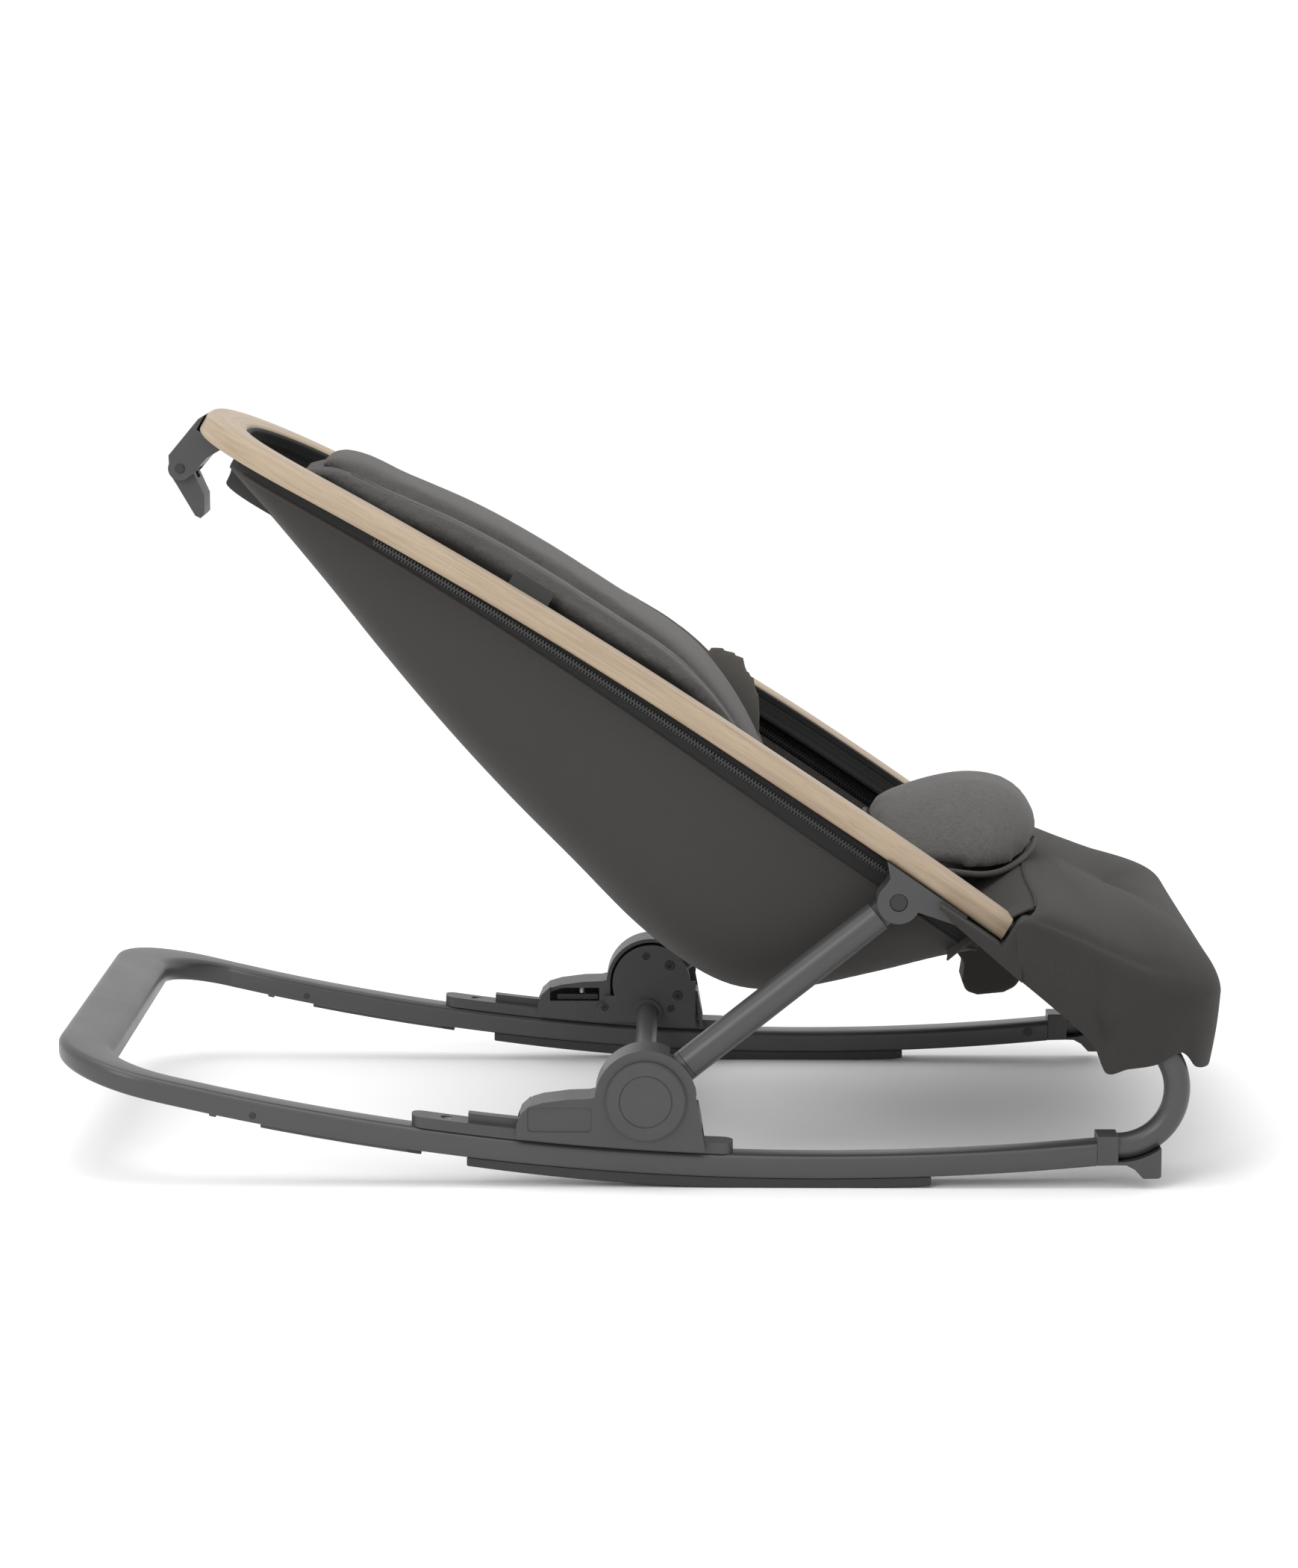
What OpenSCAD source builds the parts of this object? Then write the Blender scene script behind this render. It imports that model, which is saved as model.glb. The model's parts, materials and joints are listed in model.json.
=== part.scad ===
// Baby bouncer seat: a rocking base, a sliding carriage on two tracks, two struts,
// and a wooden-framed fabric seat that folds down onto the base.
// X runs from the head end (-) to the foot end (+), Y across, Z up. Millimetres.

/* [Base] */
// Distance between the two rocker rails, centre to centre
rail_spacing = 425; // [380:1:480]
// Width of a rail
rail_w = 24; // [20:0.5:30]
// Height of a rail
rail_h = 17; // [14:0.5:22]
// Radius of the rails' underside
rock_r = 2072; // [1700:1:2600]
// X of the lowest point of the rails
rock_x = 130; // [90:1:160]
// Height of the rails' underside above the floor at their lowest point
rail_lift = 7; // [6:0.5:10]
// Outer end of the rear bar, behind the origin
rear_x = 425; // [400:1:450]
// Width of the rear bar, along the rails
rear_bar_w = 40; // [30:1:50]
// Outer corner radius of the base frame, seen from above
corner_r = 72; // [60:1:90]
// X where the rails end and the front connectors start
rail_end_x = 332; // [315:1:336]

/* [Rocker pads] */
// X of the rear end of a rubber pad
pad_x0 = -122; // [-140:1:-100]
// X of the front end of a rubber pad
pad_x1 = 213; // [200:1:230]
// Radius of the pads' underside
pad_r = 1700; // [1500:1:1900]
// X of the middle of the pads' underside
pad_cx = 115; // [100:1:125]
// Depth of the worn-in flat under the pads
pad_flat = 1; // [0.5:0.1:1.5]
// Width of a pad
pad_w = 20; // [16:0.5:22]

/* [Front arms] */
// X of the centre of the arm's bend
arm_cx = 347.5; // [345:0.5:350]
// Height of the centre of the arm's bend
arm_cz = 72; // [70:0.5:74]
// Radius of the bend, to the tube's centre
arm_bend = 42.5; // [40:0.5:45]
// Tube diameter of the arms
arm_d = 19; // [16:0.5:21]
// Diameter of the cross tube that the seat hinges on
cross_d = 16; // [12:0.5:18]

/* [Tracks and carriage] */
// X of the rear end of the tracks
track_x0 = -162; // [-170:1:-158]
// X of the front end of the tracks
track_x1 = 70; // [66:1:80]
// Height of the track's plate above the rail
track_h = 8; // [6:0.5:9]
// Height of the track's middle rib above the rail
rib_h = 14; // [12:0.5:15]
// X of the hub where the struts turn
hub_x = 7.2; // [4:0.1:10]
// Height of the hub above the top of the rail
hub_h = 37.8; // [36:0.1:40]
// Outer radius of the housing's arch round the hub
arch_r = 36.8; // [35:0.1:38]
// Outside width of a carriage housing
housing_w = 33; // [32:0.5:36]
// Wall of a carriage housing
wall = 3; // [2.5:0.1:3.5]
// Gap between a housing and the rail
slide_gap = 2.2; // [2:0.1:3]
// Radius of a hub cap
cap_r = 29; // [26:0.5:30]
// Diameter of the bar that joins the two carriages
crossbar_d = 17; // [14:0.5:19]

/* [Struts] */
// Diameter of a strut
strut_d = 23; // [20:0.5:24]
// How far a strut leans in, from its hub to its upper eye
strut_lean = 13; // [10:0.5:16]
// Diameter of the pin in each hub
hub_pin_d = 12; // [10:0.5:14]
// Diameter of the pin in each seat bracket
seat_pin_d = 9; // [7:0.5:10]

/* [Wooden frame] */
// Slope of the seat
seat_slope = 30; // [28:0.5:32]
// How far the wood's outside stands beyond the middle of the struts' upper eyes
wood_lap = 7.5; // [5:0.5:9]
// Half width of the arch at the head
head_half = 124; // [115:1:130]
// Width of the wooden board
board_w = 32; // [26:0.5:36]
// Thickness of the wooden board
board_t = 17.2; // [15:0.1:20]

/* [Fold-out legs] */
// X of the legs' pivots
leg_x = -276; // [-280:1:-270]
// Length of a leg, from pivot to tip
leg_len = 121; // [112:1:124]
// Width of a leg
leg_w = 15; // [12:0.5:16]

/* [Soft parts] */
// Thickness of the hammock fabric
skin = 3; // [2:0.5:4]
// Depth below the frame where the hammock's two straight falls would meet
hammock_depth = 196; // [170:1:205]
// Thickness of the seat liner
liner_t = 26; // [18:1:32]
// X of the apron's front edge, ahead of the origin
apron_front = 425; // [415:1:430]

/* [Clearances] */
// Radial clearance of every pin in its bore
run_fit = 0.06; // [0.02:0.01:0.1]
// Gap between soft parts and what they lie near
soft_gap = 1; // [0.5:0.1:2]

/* [Hidden] */
$fn = 64;

dark = "#4c4c4d";
darker = "#353536";
rubber = "#2b2b2c";
oak = "#cdb89d";
fabric = "#48443f";
melange = "#6b6866";
steel = "#9a9a9c";

rail_y = rail_spacing / 2;
strut_top_y = rail_y - strut_lean;
// Half width of the wooden frame at its front ends
wood_half = strut_top_y + wood_lap;
rock_cz = rail_lift + rock_r;
big = 600;

// Height of the rails' underside and top at x
function rail_bottom(x) = rock_cz - sqrt(pow(rock_r, 2) - pow(x - rock_x, 2));
function rail_top(x) = rock_cz - sqrt(pow(rock_r - rail_h, 2) - pow(x - rock_x, 2));

// The seat's own frame: s runs down the slope, n stands square to it
seat_x = 40;
function seat_point(s, n) = [seat_x + s * cos(seat_slope) + n * sin(seat_slope),
                             n * cos(seat_slope) - s * sin(seat_slope)];
wood_s0 = -588;
wood_s1 = 103;
wood_mid_s = -200;
// Top of the wooden board: head, crown, front; its underside is an even thickness below
wood_high = [[wood_s0, 292.5], [wood_mid_s, 302.7], [wood_s1, 283.5]];
wood_low = [for (p = wood_high) p - [0, board_t]];
// Centre of the circle through three points
function ring_centre(p) =
    let (a = p[0], b = p[1], c = p[2],
         d = 2 * (a[0] * (b[1] - c[1]) + b[0] * (c[1] - a[1]) + c[0] * (a[1] - b[1])),
         qa = a * a, qb = b * b, qc = c * c)
    [(qa * (b[1] - c[1]) + qb * (c[1] - a[1]) + qc * (a[1] - b[1])) / d,
     (qa * (c[0] - b[0]) + qb * (a[0] - c[0]) + qc * (b[0] - a[0])) / d];
low_c = ring_centre(wood_low);
low_r = norm(wood_low[0] - low_c);
high_c = ring_centre(wood_high);
high_r = norm(wood_high[0] - high_c);
function wood_bottom(s) = low_c[1] + sqrt(pow(low_r, 2) - pow(s - low_c[0], 2));
function wood_top(s) = high_c[1] + sqrt(pow(high_r, 2) - pow(s - high_c[0], 2));

// Outline of the wooden frame from above: a broad arch at the head, straight flaring
// sides and a bend that brings them parallel at the front. The arch is a squarish ellipse
// that meets the sides at the share flare_at of its length from its middle.
side_run = 356;
arch_blend = 6;
flare = atan((wood_half - head_half - arch_blend) / side_run);
arch_pow = 2.5;
flare_at = 0.36;
head_len = 150;
head_s = wood_s0 + head_len;
flare_s = head_s - flare_at * head_len;
flare_w = head_half * pow(1 - pow(flare_at, arch_pow), 1 / arch_pow);
bend_r = 470;
bend_s = flare_s + (wood_half - bend_r * (1 - cos(flare)) - flare_w) / tan(flare);
bend_end = bend_s + bend_r * sin(flare);
function wood_w(s, inset = 0) =
    s < flare_s
    ? (head_half - inset)
      * pow(max(0, 1 - pow((head_s - s) / (head_len - inset), arch_pow)), 1 / arch_pow)
    : s < bend_s ? flare_w + (s - flare_s) * tan(flare) - inset / cos(flare)
    : s < bend_end ? wood_half - bend_r + sqrt(pow(bend_r, 2) - pow(bend_end - s, 2)) - inset
    : wood_half - inset;

hub = [hub_x, rail_top(hub_x) + hub_h];
pivot = [arm_cx - 2.5, arm_cz + arm_bend];
bracket_drop = 20;
bracket_s = 25;
seat_pin = seat_point(bracket_s, wood_bottom(bracket_s) - bracket_drop);
strut_vec = [seat_pin[0] - hub[0], rail_y - strut_top_y, seat_pin[1] - hub[1]];
strut_len = norm(strut_vec);
strut_rise = atan2(strut_vec[2], strut_vec[0]);
strut_toe = asin(strut_vec[1] / strut_len);
housing_out = rail_y + housing_w / 2;
housing_in = rail_y - housing_w / 2;
eye_w = 13;
cheek = 4.5;
cheek_gap = 0.5;
housing_x0 = -86;
crossbar_at = [4, hub[1] - 24];
leg_at = [leg_x, rail_bottom(leg_x) + 5.8];
clip_at = [-344.7, 503.5];

// ---- helpers ----------------------------------------------------------------
// Draws a side view (x, z) as a slab from y0 to y1
module side(y0, y1) {
    rotate([90, 0, 0]) translate([0, 0, -y1]) linear_extrude(y1 - y0) children();
}
// A round bar across, from y0 to y1
module bar(at, d, y0, y1) {
    translate([at[0], y0, at[1]]) rotate([-90, 0, 0]) cylinder(d = d, h = y1 - y0);
}
// The occupant's right side is drawn at -Y; the left side is its mirror image
module left() {
    mirror([0, 1, 0]) children();
}
// A band that follows the rails, from lift0 to lift1 above their underside
module rail_band(lift0, lift1, x0, x1) {
    intersection() {
        translate([rock_x, rock_cz]) difference() {
            circle(rock_r - lift0, $fn = 720);
            circle(rock_r - lift1, $fn = 720);
        }
        translate([x0, -50]) square([x1 - x0, 300]);
    }
}
// A rectangle with round corners
module round_rect(x0, y0, x1, y1, r) {
    translate([x0 + r, y0]) square([x1 - x0 - 2 * r, y1 - y0]);
    translate([x0, y0 + r]) square([x1 - x0, y1 - y0 - 2 * r]);
    for (x = [x0 + r, x1 - r], y = [y0 + r, y1 - r]) translate([x, y]) circle(r);
}
// Solid through closed rings that all have the same number of points
module loft(rings) {
    k = len(rings[0]);
    m = len(rings);
    points = [for (r = rings, p = r) p];
    walls = [for (i = [0:m - 2], j = [0:k - 1])
        let (a = i * k + j, b = i * k + (j + 1) % k)
        for (t = [[a, b, b + k], [a, b + k, a + k]]) t];
    caps = concat([[for (j = [0:k - 1]) k - 1 - j]], [[for (j = [0:k - 1]) (m - 1) * k + j]]);
    polyhedron(points, concat(walls, caps));
}
// The same for a bent sheet: each ring runs along one face and back along the other
module sheet_loft(rings) {
    k = len(rings[0]);
    m = len(rings);
    h = k / 2;
    last = (m - 1) * k;
    points = [for (r = rings, p = r) p];
    walls = [for (i = [0:m - 2], j = [0:k - 1])
        let (a = i * k + j, b = i * k + (j + 1) % k)
        for (t = [[a, b, b + k], [a, b + k, a + k]]) t];
    start = [for (j = [0:h - 2]) let (c = k - 1 - j) for (t = [[j, c, c - 1], [j, c - 1, j + 1]]) t];
    end = [for (t = start) [last + t[0], last + t[2], last + t[1]]];
    polyhedron(points, concat(walls, start, end));
}
module seat_frame() {
    translate([seat_x, 0, 0]) rotate([0, seat_slope, 0]) children();
}

// ---- base -------------------------------------------------------------------
frame_half = rail_y + rail_w / 2;
module base_plan() {
    inner_r = corner_r - rail_w;
    difference() {
        round_rect(-rear_x, -frame_half, rail_end_x + 2 * corner_r, frame_half, corner_r);
        round_rect(-rear_x + rear_bar_w, -frame_half + rail_w, rail_end_x + 3 * corner_r,
                   frame_half - rail_w, inner_r);
        translate([rail_end_x, -big / 2]) square(big);
    }
}
leg_slot_w = leg_w + 1.4;
leg_slot_x0 = leg_x - 26;
leg_slot_x1 = leg_x + leg_len + 8;
leg_slot_h = 11.5;
module base_frame() {
    color(dark) difference() {
        intersection() {
            linear_extrude(200) base_plan();
            side(-big / 2, big / 2) rail_band(0, rail_h, -rear_x - 20, rail_end_x + 20);
        }
        for (y = [-rail_y, rail_y]) {
            side(y - leg_slot_w / 2, y + leg_slot_w / 2)
                rail_band(-1, leg_slot_h, leg_slot_x0, leg_slot_x1);
            bar(leg_at, leg_bolt_d, y - rail_w, y + rail_w);
        }
    }
}
leg_bolt_d = 5;
module leg_bolts() {
    color(rubber) for (y = [-rail_y, rail_y]) {
        bar(leg_at, leg_bolt_d, y - rail_w / 2 - 0.4, y + rail_w / 2 + 0.4);
    }
}
// Small blocks that the opened legs rest against
module leg_stops() {
    color(dark) for (y = [-rail_y, rail_y]) {
        side(y - leg_w / 2, y + leg_w / 2) rail_band(-2, 0, leg_slot_x0 - 6, leg_slot_x0 - 1);
    }
}
module connector_right() {
    top = arm_cz - arm_bend + arm_d / 2;
    low = rail_bottom(rail_end_x) + 0.5;
    color(dark) {
        side(-rail_y - rail_w / 2, -rail_y + rail_w / 2) {
            polygon([[rail_end_x, low], [arm_cx, low + 0.4], [arm_cx, top],
                     [rail_end_x, top]]);
            difference() {
                polygon([[arm_cx, low + 0.4], [arm_cx + 6, low + 0.2], [arm_cx + 12, low - 3],
                         [arm_cx + 18, low - 9.5], [arm_cx + 29, low - 9.5],
                         [arm_cx + 31, low - 8], [arm_cx + 31, arm_cz - arm_bend + 15],
                         [arm_cx, arm_cz - arm_bend + 15]]);
                translate([arm_cx, arm_cz]) circle(arm_bend + arm_d / 2, $fn = 180);
            }
        }
    }
}
module connector_left() {
    left() connector_right();
}
boss_r = 12;
arm_face = rail_y - arm_d / 2;
module front_arm_right() {
    color(dark) {
        translate([arm_cx, -rail_y, arm_cz]) rotate([90, 0, 0]) rotate([0, 0, -90])
            rotate_extrude(angle = 172) translate([arm_bend, 0]) circle(d = arm_d);
        bar(pivot, boss_r * 2, -rail_y - arm_d / 2, -rail_y + arm_d / 2);
    }
}
module front_arm_left() {
    left() front_arm_right();
}
module front_cross_tube() {
    color(dark) difference() {
        bar(pivot, cross_d, -arm_face, arm_face);
        bar(pivot, cross_d - 5, -arm_face + 2, arm_face - 2);
    }
}
module rocker_pad_right() {
    color(rubber) side(-rail_y - pad_w / 2, -rail_y + pad_w / 2) intersection() {
        translate([rock_x, rock_cz]) mirror([0, 1]) difference() {
            translate([-big, 0]) square([2 * big, rock_r + 100]);
            circle(rock_r, $fn = 720);
        }
        translate([pad_cx, pad_r - pad_flat]) circle(pad_r, $fn = 720);
        translate([pad_x0, 0]) square([pad_x1 - pad_x0, 60]);
    }
}
module rocker_pad_left() {
    left() rocker_pad_right();
}
track_w = 21;
rib_w = 9;
rib_x0 = -121;
rib_x1 = 44;
module track_right() {
    color(dark) difference() {
        union() {
            intersection() {
                side(-rail_y - track_w / 2, -rail_y + track_w / 2)
                    rail_band(rail_h, rail_h + track_h, track_x0 - 5, track_x1 + 5);
                linear_extrude(100) round_rect(track_x0, -rail_y - track_w / 2, track_x1,
                                               -rail_y + track_w / 2, 8);
            }
            side(-rail_y - rib_w / 2, -rail_y + rib_w / 2)
                rail_band(rail_h + track_h, rail_h + rib_h, rib_x0, rib_x1);
        }
        translate([screw_x, -rail_y, 0]) {
            cylinder(d = screw_d, h = 90);
            translate([0, 0, rail_top(screw_x) + track_h - 3]) cylinder(d = screw_head_d, h = 20);
        }
    }
}
module track_left() {
    left() track_right();
}
screw_x = -137;
screw_d = 4;
screw_head_d = 8.4;
module track_screws() {
    head_h = 2.2;
    color(steel) for (y = [-rail_y, rail_y]) {
        translate([screw_x, y, rail_top(screw_x) + track_h - 3]) difference() {
            cylinder(d = screw_head_d - 0.4, h = head_h);
            translate([0, 0, head_h - 1]) cylinder(d = 3.4, h = 2, $fn = 6);
        }
    }
}
module connector_screws() {
    inner = rail_y - rail_w / 2;
    color(rubber) for (m = [0, 1]) mirror([0, m, 0]) {
        bar([rail_end_x - 16, rail_top(rail_end_x - 16) - 8], 7, -inner, -inner + 1);
    }
}

// ---- fold-out legs ----------------------------------------------------------
tip_len = 10;
// The leg lies in the rail, and its underside stands a little proud
leg_low = -3;
leg_high = 5;
module leg_right() {
    color(dark) difference() {
        union() {
            side(-rail_y - leg_w / 2, -rail_y + leg_w / 2) {
                rail_band(leg_low, leg_high, leg_x + 5, leg_x + leg_len - tip_len);
                rail_band(0.6, leg_high, leg_x, leg_x + 8);
            }
            bar(leg_at, 10.4, -rail_y - leg_w / 2, -rail_y + leg_w / 2);
        }
        bar(leg_at, leg_bolt_d + 2 * run_fit, -rail_y - leg_w, -rail_y + leg_w);
    }
}
module leg_left() {
    left() leg_right();
}
module leg_tip_right() {
    x0 = leg_x + leg_len - tip_len;
    color(rubber) side(-rail_y - leg_w / 2, -rail_y + leg_w / 2)
        rail_band(leg_low, leg_high, x0, x0 + tip_len);
}
module leg_tip_left() {
    left() leg_tip_right();
}

// ---- carriage ---------------------------------------------------------------
// Side view of a carriage housing, shrunk by t all round
module housing_shape(t) {
    x0 = housing_x0 + t;
    top = hub[1] - t;
    right = hub[0] - t;
    intersection() {
        polygon(concat(
            [[x0, 0], [x0, hub[1] - 18], [x0 + 3, top - 10], [x0 + 9, top - 4.5],
             [x0 + 19, top - 1.5], [x0 + 38, top + 1], [hub[0] - arch_r - 4, top + 1.5]],
            [for (a = [176:-4:8]) hub + (arch_r - t) * [cos(a), sin(a)]],
            [[right + 36, hub[1] + 3], [right + 40, hub[1] - 18],
             [right + 42.3, hub[1] - 34], [right + 43, 0]]));
        translate([rock_x, rock_cz]) circle(rock_r - rail_h - slide_gap, $fn = 720);
    }
}
slot_a0 = -10;
slot_a1 = 62;
module strut_slot() {
    reach = 70;
    side(-housing_out + wall, -housing_in + 1) translate(hub)
        polygon([[0, 0], reach * [cos(slot_a0), sin(slot_a0)], [reach + 5, 40],
                 reach * [cos(slot_a1), sin(slot_a1)]]);
}
window_x0 = housing_x0 + 10;
window_x1 = hub_x - arch_r - 6;
module housing_right() {
    color(dark) difference() {
        side(-housing_out, -housing_in) housing_shape(0);
        side(-housing_out + wall, -housing_in - wall) housing_shape(wall);
        // open on the inside round the hub, where the inner cover closes it
        side(-housing_in - wall - 1, -housing_in + 1) intersection() {
            housing_shape(wall);
            translate([hub[0] - arch_r + wall, 0]) square([big, big]);
        }
        // open along the rail, and at the rear end where the track passes
        side(-housing_out + wall, -housing_in - wall)
            rail_band(rail_h, rail_h + rib_h + 4, housing_x0 - 5, hub[0] + 60);
        // finger window on the inside
        side(-housing_in - wall - 1, -housing_in + 1)
            translate([window_x0, hub[1] - 15]) square([window_x1 - window_x0, 11]);
        // thumb recess on the outside
        side(-housing_out - 1, -housing_out + 1)
            round_rect(housing_x0 + 8, rail_top(housing_x0) + 7, hub[0] - arch_r - 2,
                       hub[1] - 5, 3);
        strut_slot();
    }
}
module housing_left() {
    left() housing_right();
}
cover_t = 3.5;
module cover_shape() {
    intersection() {
        union() {
            translate(hub) circle(arch_r - wall - 2, $fn = 120);
            translate([hub[0] - 38, hub[1] - 24]) circle(8);
            translate([hub[0] - 38, hub[1] - 32]) square([38, 22]);
            translate([hub[0], hub[1] - 38]) square([36, 40]);
        }
        translate([rock_x, rock_cz]) circle(rock_r - rail_h - slide_gap - 1, $fn = 720);
    }
}
cover_y = housing_in;
screw_spots = [[-4.2, 23], [16, -20.5], [-38, -19.5]];
bolt_spots = [[15, 15.5], [21.5, -9.5]];
screw_r = 3;
bolt_r = 4;
module inner_cover_right() {
    color(dark) difference() {
        union() {
            side(-cover_y, -cover_y + cover_t) cover_shape();
            bar(crossbar_at, crossbar_d + 7, -cover_y + cover_t, -cover_y + cover_t + 4);
        }
        bar(crossbar_at, crossbar_d, -cover_y + 1, -cover_y + 20);
        for (p = screw_spots) bar(hub + p, 2 * screw_r, -cover_y + 1.5, -cover_y + 9);
        for (p = bolt_spots) bar(hub + p, 2 * bolt_r, -cover_y + 1.5, -cover_y + 9);
    }
}
module inner_cover_left() {
    left() inner_cover_right();
}
module hub_cap_right() {
    color(dark) translate([hub[0], -housing_out, hub[1]]) rotate([90, 0, 0]) difference() {
        union() {
            cylinder(r = cap_r - 1, h = 4, $fn = 120);
            cylinder(r = cap_r, h = 3, $fn = 120);
        }
        translate([0, 0, 3.4]) difference() {
            cylinder(r = 19.2, h = 2, $fn = 96);
            cylinder(r = 18.4, h = 2, $fn = 96);
        }
    }
}
module hub_cap_left() {
    left() hub_cap_right();
}
module hub_pins() {
    color(steel) for (m = [0, 1]) mirror([0, m, 0]) {
        bar(hub, hub_pin_d, -housing_out + wall, -housing_in);
    }
}
module crossbar() {
    color(dark) bar(crossbar_at, crossbar_d, -cover_y + 1, cover_y - 1);
}
module cover_screws() {
    color(rubber) for (m = [0, 1], p = screw_spots) mirror([0, m, 0]) difference() {
        bar(hub + p, 2 * screw_r - 0.4, -cover_y + 1.5, -cover_y + cover_t - 0.4);
        bar(hub + p, 1.6, -cover_y + cover_t - 1.4, -cover_y + cover_t);
    }
}
module cover_bolts() {
    color(rubber) for (m = [0, 1], p = bolt_spots) mirror([0, m, 0]) difference() {
        bar(hub + p, 2 * bolt_r - 0.4, -cover_y + 1.5, -cover_y + cover_t + 0.6);
        translate([hub[0] + p[0], -cover_y + cover_t - 1.4, hub[1] + p[1]])
            rotate([-90, 0, 0]) cylinder(d = 4, h = 3, $fn = 6);
    }
}
// Squeeze trigger behind the finger window, with its return spring above it
module trigger_right() {
    color(rubber) side(-housing_in - wall - 7, -housing_in - wall - 1)
        translate([window_x0 + 6, hub[1] - 14.5]) square([window_x1 - window_x0 - 7, 4.5]);
}
module trigger_left() {
    left() trigger_right();
}
spring_top = hub[1] - 3.1;
module trigger_spring_right() {
    x = (window_x0 + window_x1) / 2 + 6;
    y = -housing_in - wall - 4;
    color(steel) translate([x, y, hub[1] - 10]) difference() {
        cylinder(d = 5.4, h = spring_top - hub[1] + 10);
        translate([0, 0, -1]) cylinder(d = 3.6, h = 20);
    }
}
module trigger_spring_left() {
    left() trigger_spring_right();
}

// ---- struts -----------------------------------------------------------------
// Draws along the strut: x from the hub pin to the seat pin, right side
module along_strut() {
    translate([hub[0], -rail_y, hub[1]]) rotate([0, -strut_rise, 0]) rotate([0, 0, strut_toe])
        children();
}
foot_end = 38;
head_start = strut_len - 18;
module strut_tube_right() {
    color(dark) along_strut() translate([foot_end, 0, 0]) rotate([0, 90, 0])
        difference() {
            cylinder(d = strut_d, h = head_start - foot_end);
            translate([0, 0, 3]) cylinder(d = strut_d - 5, h = head_start - foot_end - 6);
        }
}
module strut_tube_left() {
    left() strut_tube_right();
}
foot_eye_r = 13.5;
module strut_foot_right() {
    color(dark) difference() {
        union() {
            bar(hub, 2 * foot_eye_r, -rail_y - eye_w / 2, -rail_y + eye_w / 2);
            along_strut() translate([0, -eye_w / 2, -9]) cube([20, eye_w, 18]);
            along_strut() translate([18, 0, 0]) rotate([0, 90, 0])
                cylinder(d = strut_d, h = foot_end - 18);
        }
        bar(hub, hub_pin_d + 2 * run_fit, -rail_y - strut_d, -rail_y + strut_d);
    }
}
module strut_foot_left() {
    left() strut_foot_right();
}
head_eye_r = 13;
module strut_head_right() {
    color(dark) difference() {
        union() {
            bar(seat_pin, 2 * head_eye_r, -strut_top_y - eye_w / 2, -strut_top_y + eye_w / 2);
            along_strut() translate([head_start, -eye_w / 2 + 0.6, -9])
                cube([14, eye_w - 1.2, 18]);
        }
        bar(seat_pin, seat_pin_d + 2 * run_fit, -strut_top_y - 20, -strut_top_y + 20);
    }
}
module strut_head_left() {
    left() strut_head_right();
}

// ---- wooden seat frame ------------------------------------------------------
// Plan of the wooden frame, s along and y across
module wood_outline(inset) {
    n = 60;
    s0 = wood_s0 + inset;
    s1 = wood_s1 + (inset > 0 ? 1 : 0);
    // stations bunch up round the head, where the outline turns fastest
    st = [for (i = [0:n]) s0 + (s1 - s0) * pow(i / n, 2)];
    polygon(concat([for (s = st) [s, -wood_w(s, inset)]],
                   [for (i = [n:-1:1]) [st[i], wood_w(st[i], inset)]]));
}
module wood_frame() {
    color(oak) seat_frame() intersection() {
        translate([0, 0, 200]) linear_extrude(200) difference() {
            wood_outline(0);
            wood_outline(board_w);
        }
        side(-big / 2, big / 2) intersection() {
            translate(high_c) circle(high_r, $fn = 1440);
            difference() {
                translate([wood_s0 - 1, 200]) square([wood_s1 - wood_s0 + 2, 200]);
                translate(low_c) circle(low_r, $fn = 1440);
            }
        }
    }
}
front_tube_d = 16;
front_s = 249;
front_bend = 60;
front_n = 275;
front_y = wood_half - board_w / 2;
module front_tube() {
    seat_frame() translate([0, 0, front_n]) {
        for (m = [0, 1]) mirror([0, m, 0]) {
            translate([wood_s1, -front_y, 0]) rotate([0, 90, 0])
                cylinder(d = front_tube_d, h = front_s - front_bend - wood_s1);
            translate([front_s - front_bend, -front_y + front_bend, 0]) rotate([0, 0, -90])
                rotate_extrude(angle = 90) translate([front_bend, 0]) circle(d = front_tube_d);
        }
        translate([front_s, -front_y + front_bend, 0]) rotate([-90, 0, 0])
            cylinder(d = front_tube_d, h = 2 * (front_y - front_bend));
    }
}
module seat_front_tube() {
    color(dark) front_tube();
}
hinge_w = 20;
hinge_y = front_y;
module seat_hinge_right() {
    eye = 2 * 12.5;
    top = seat_point(196, front_n);
    color(dark) difference() {
        union() {
            bar(pivot, eye, -hinge_y - hinge_w / 2, -hinge_y + hinge_w / 2);
            side(-hinge_y - hinge_w / 2, -hinge_y + hinge_w / 2)
                polygon([pivot + [-12, 4], pivot + [12, 4], top + [18, 4], top + [-10, 18]]);
        }
        bar(pivot, cross_d + 2 * run_fit, -big / 2, big / 2);
        front_tube();
    }
}
module seat_hinge_left() {
    left() seat_hinge_right();
}
cheek_out = strut_top_y + eye_w / 2 + cheek_gap;
cheek_in = strut_top_y - eye_w / 2 - cheek_gap;
module bracket_shape() {
    hang = [for (s = [bracket_s - 22, bracket_s + 48]) seat_point(s, wood_bottom(s) - 0.1)];
    web = [for (s = [bracket_s - 14, bracket_s + 46]) seat_point(s, wood_bottom(s) - 9)];
    translate(seat_pin) circle(15.5);
    polygon([hang[0], hang[1], web[1], seat_pin + [14, -7], seat_pin + [-15, 4], web[0]]);
}
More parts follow.
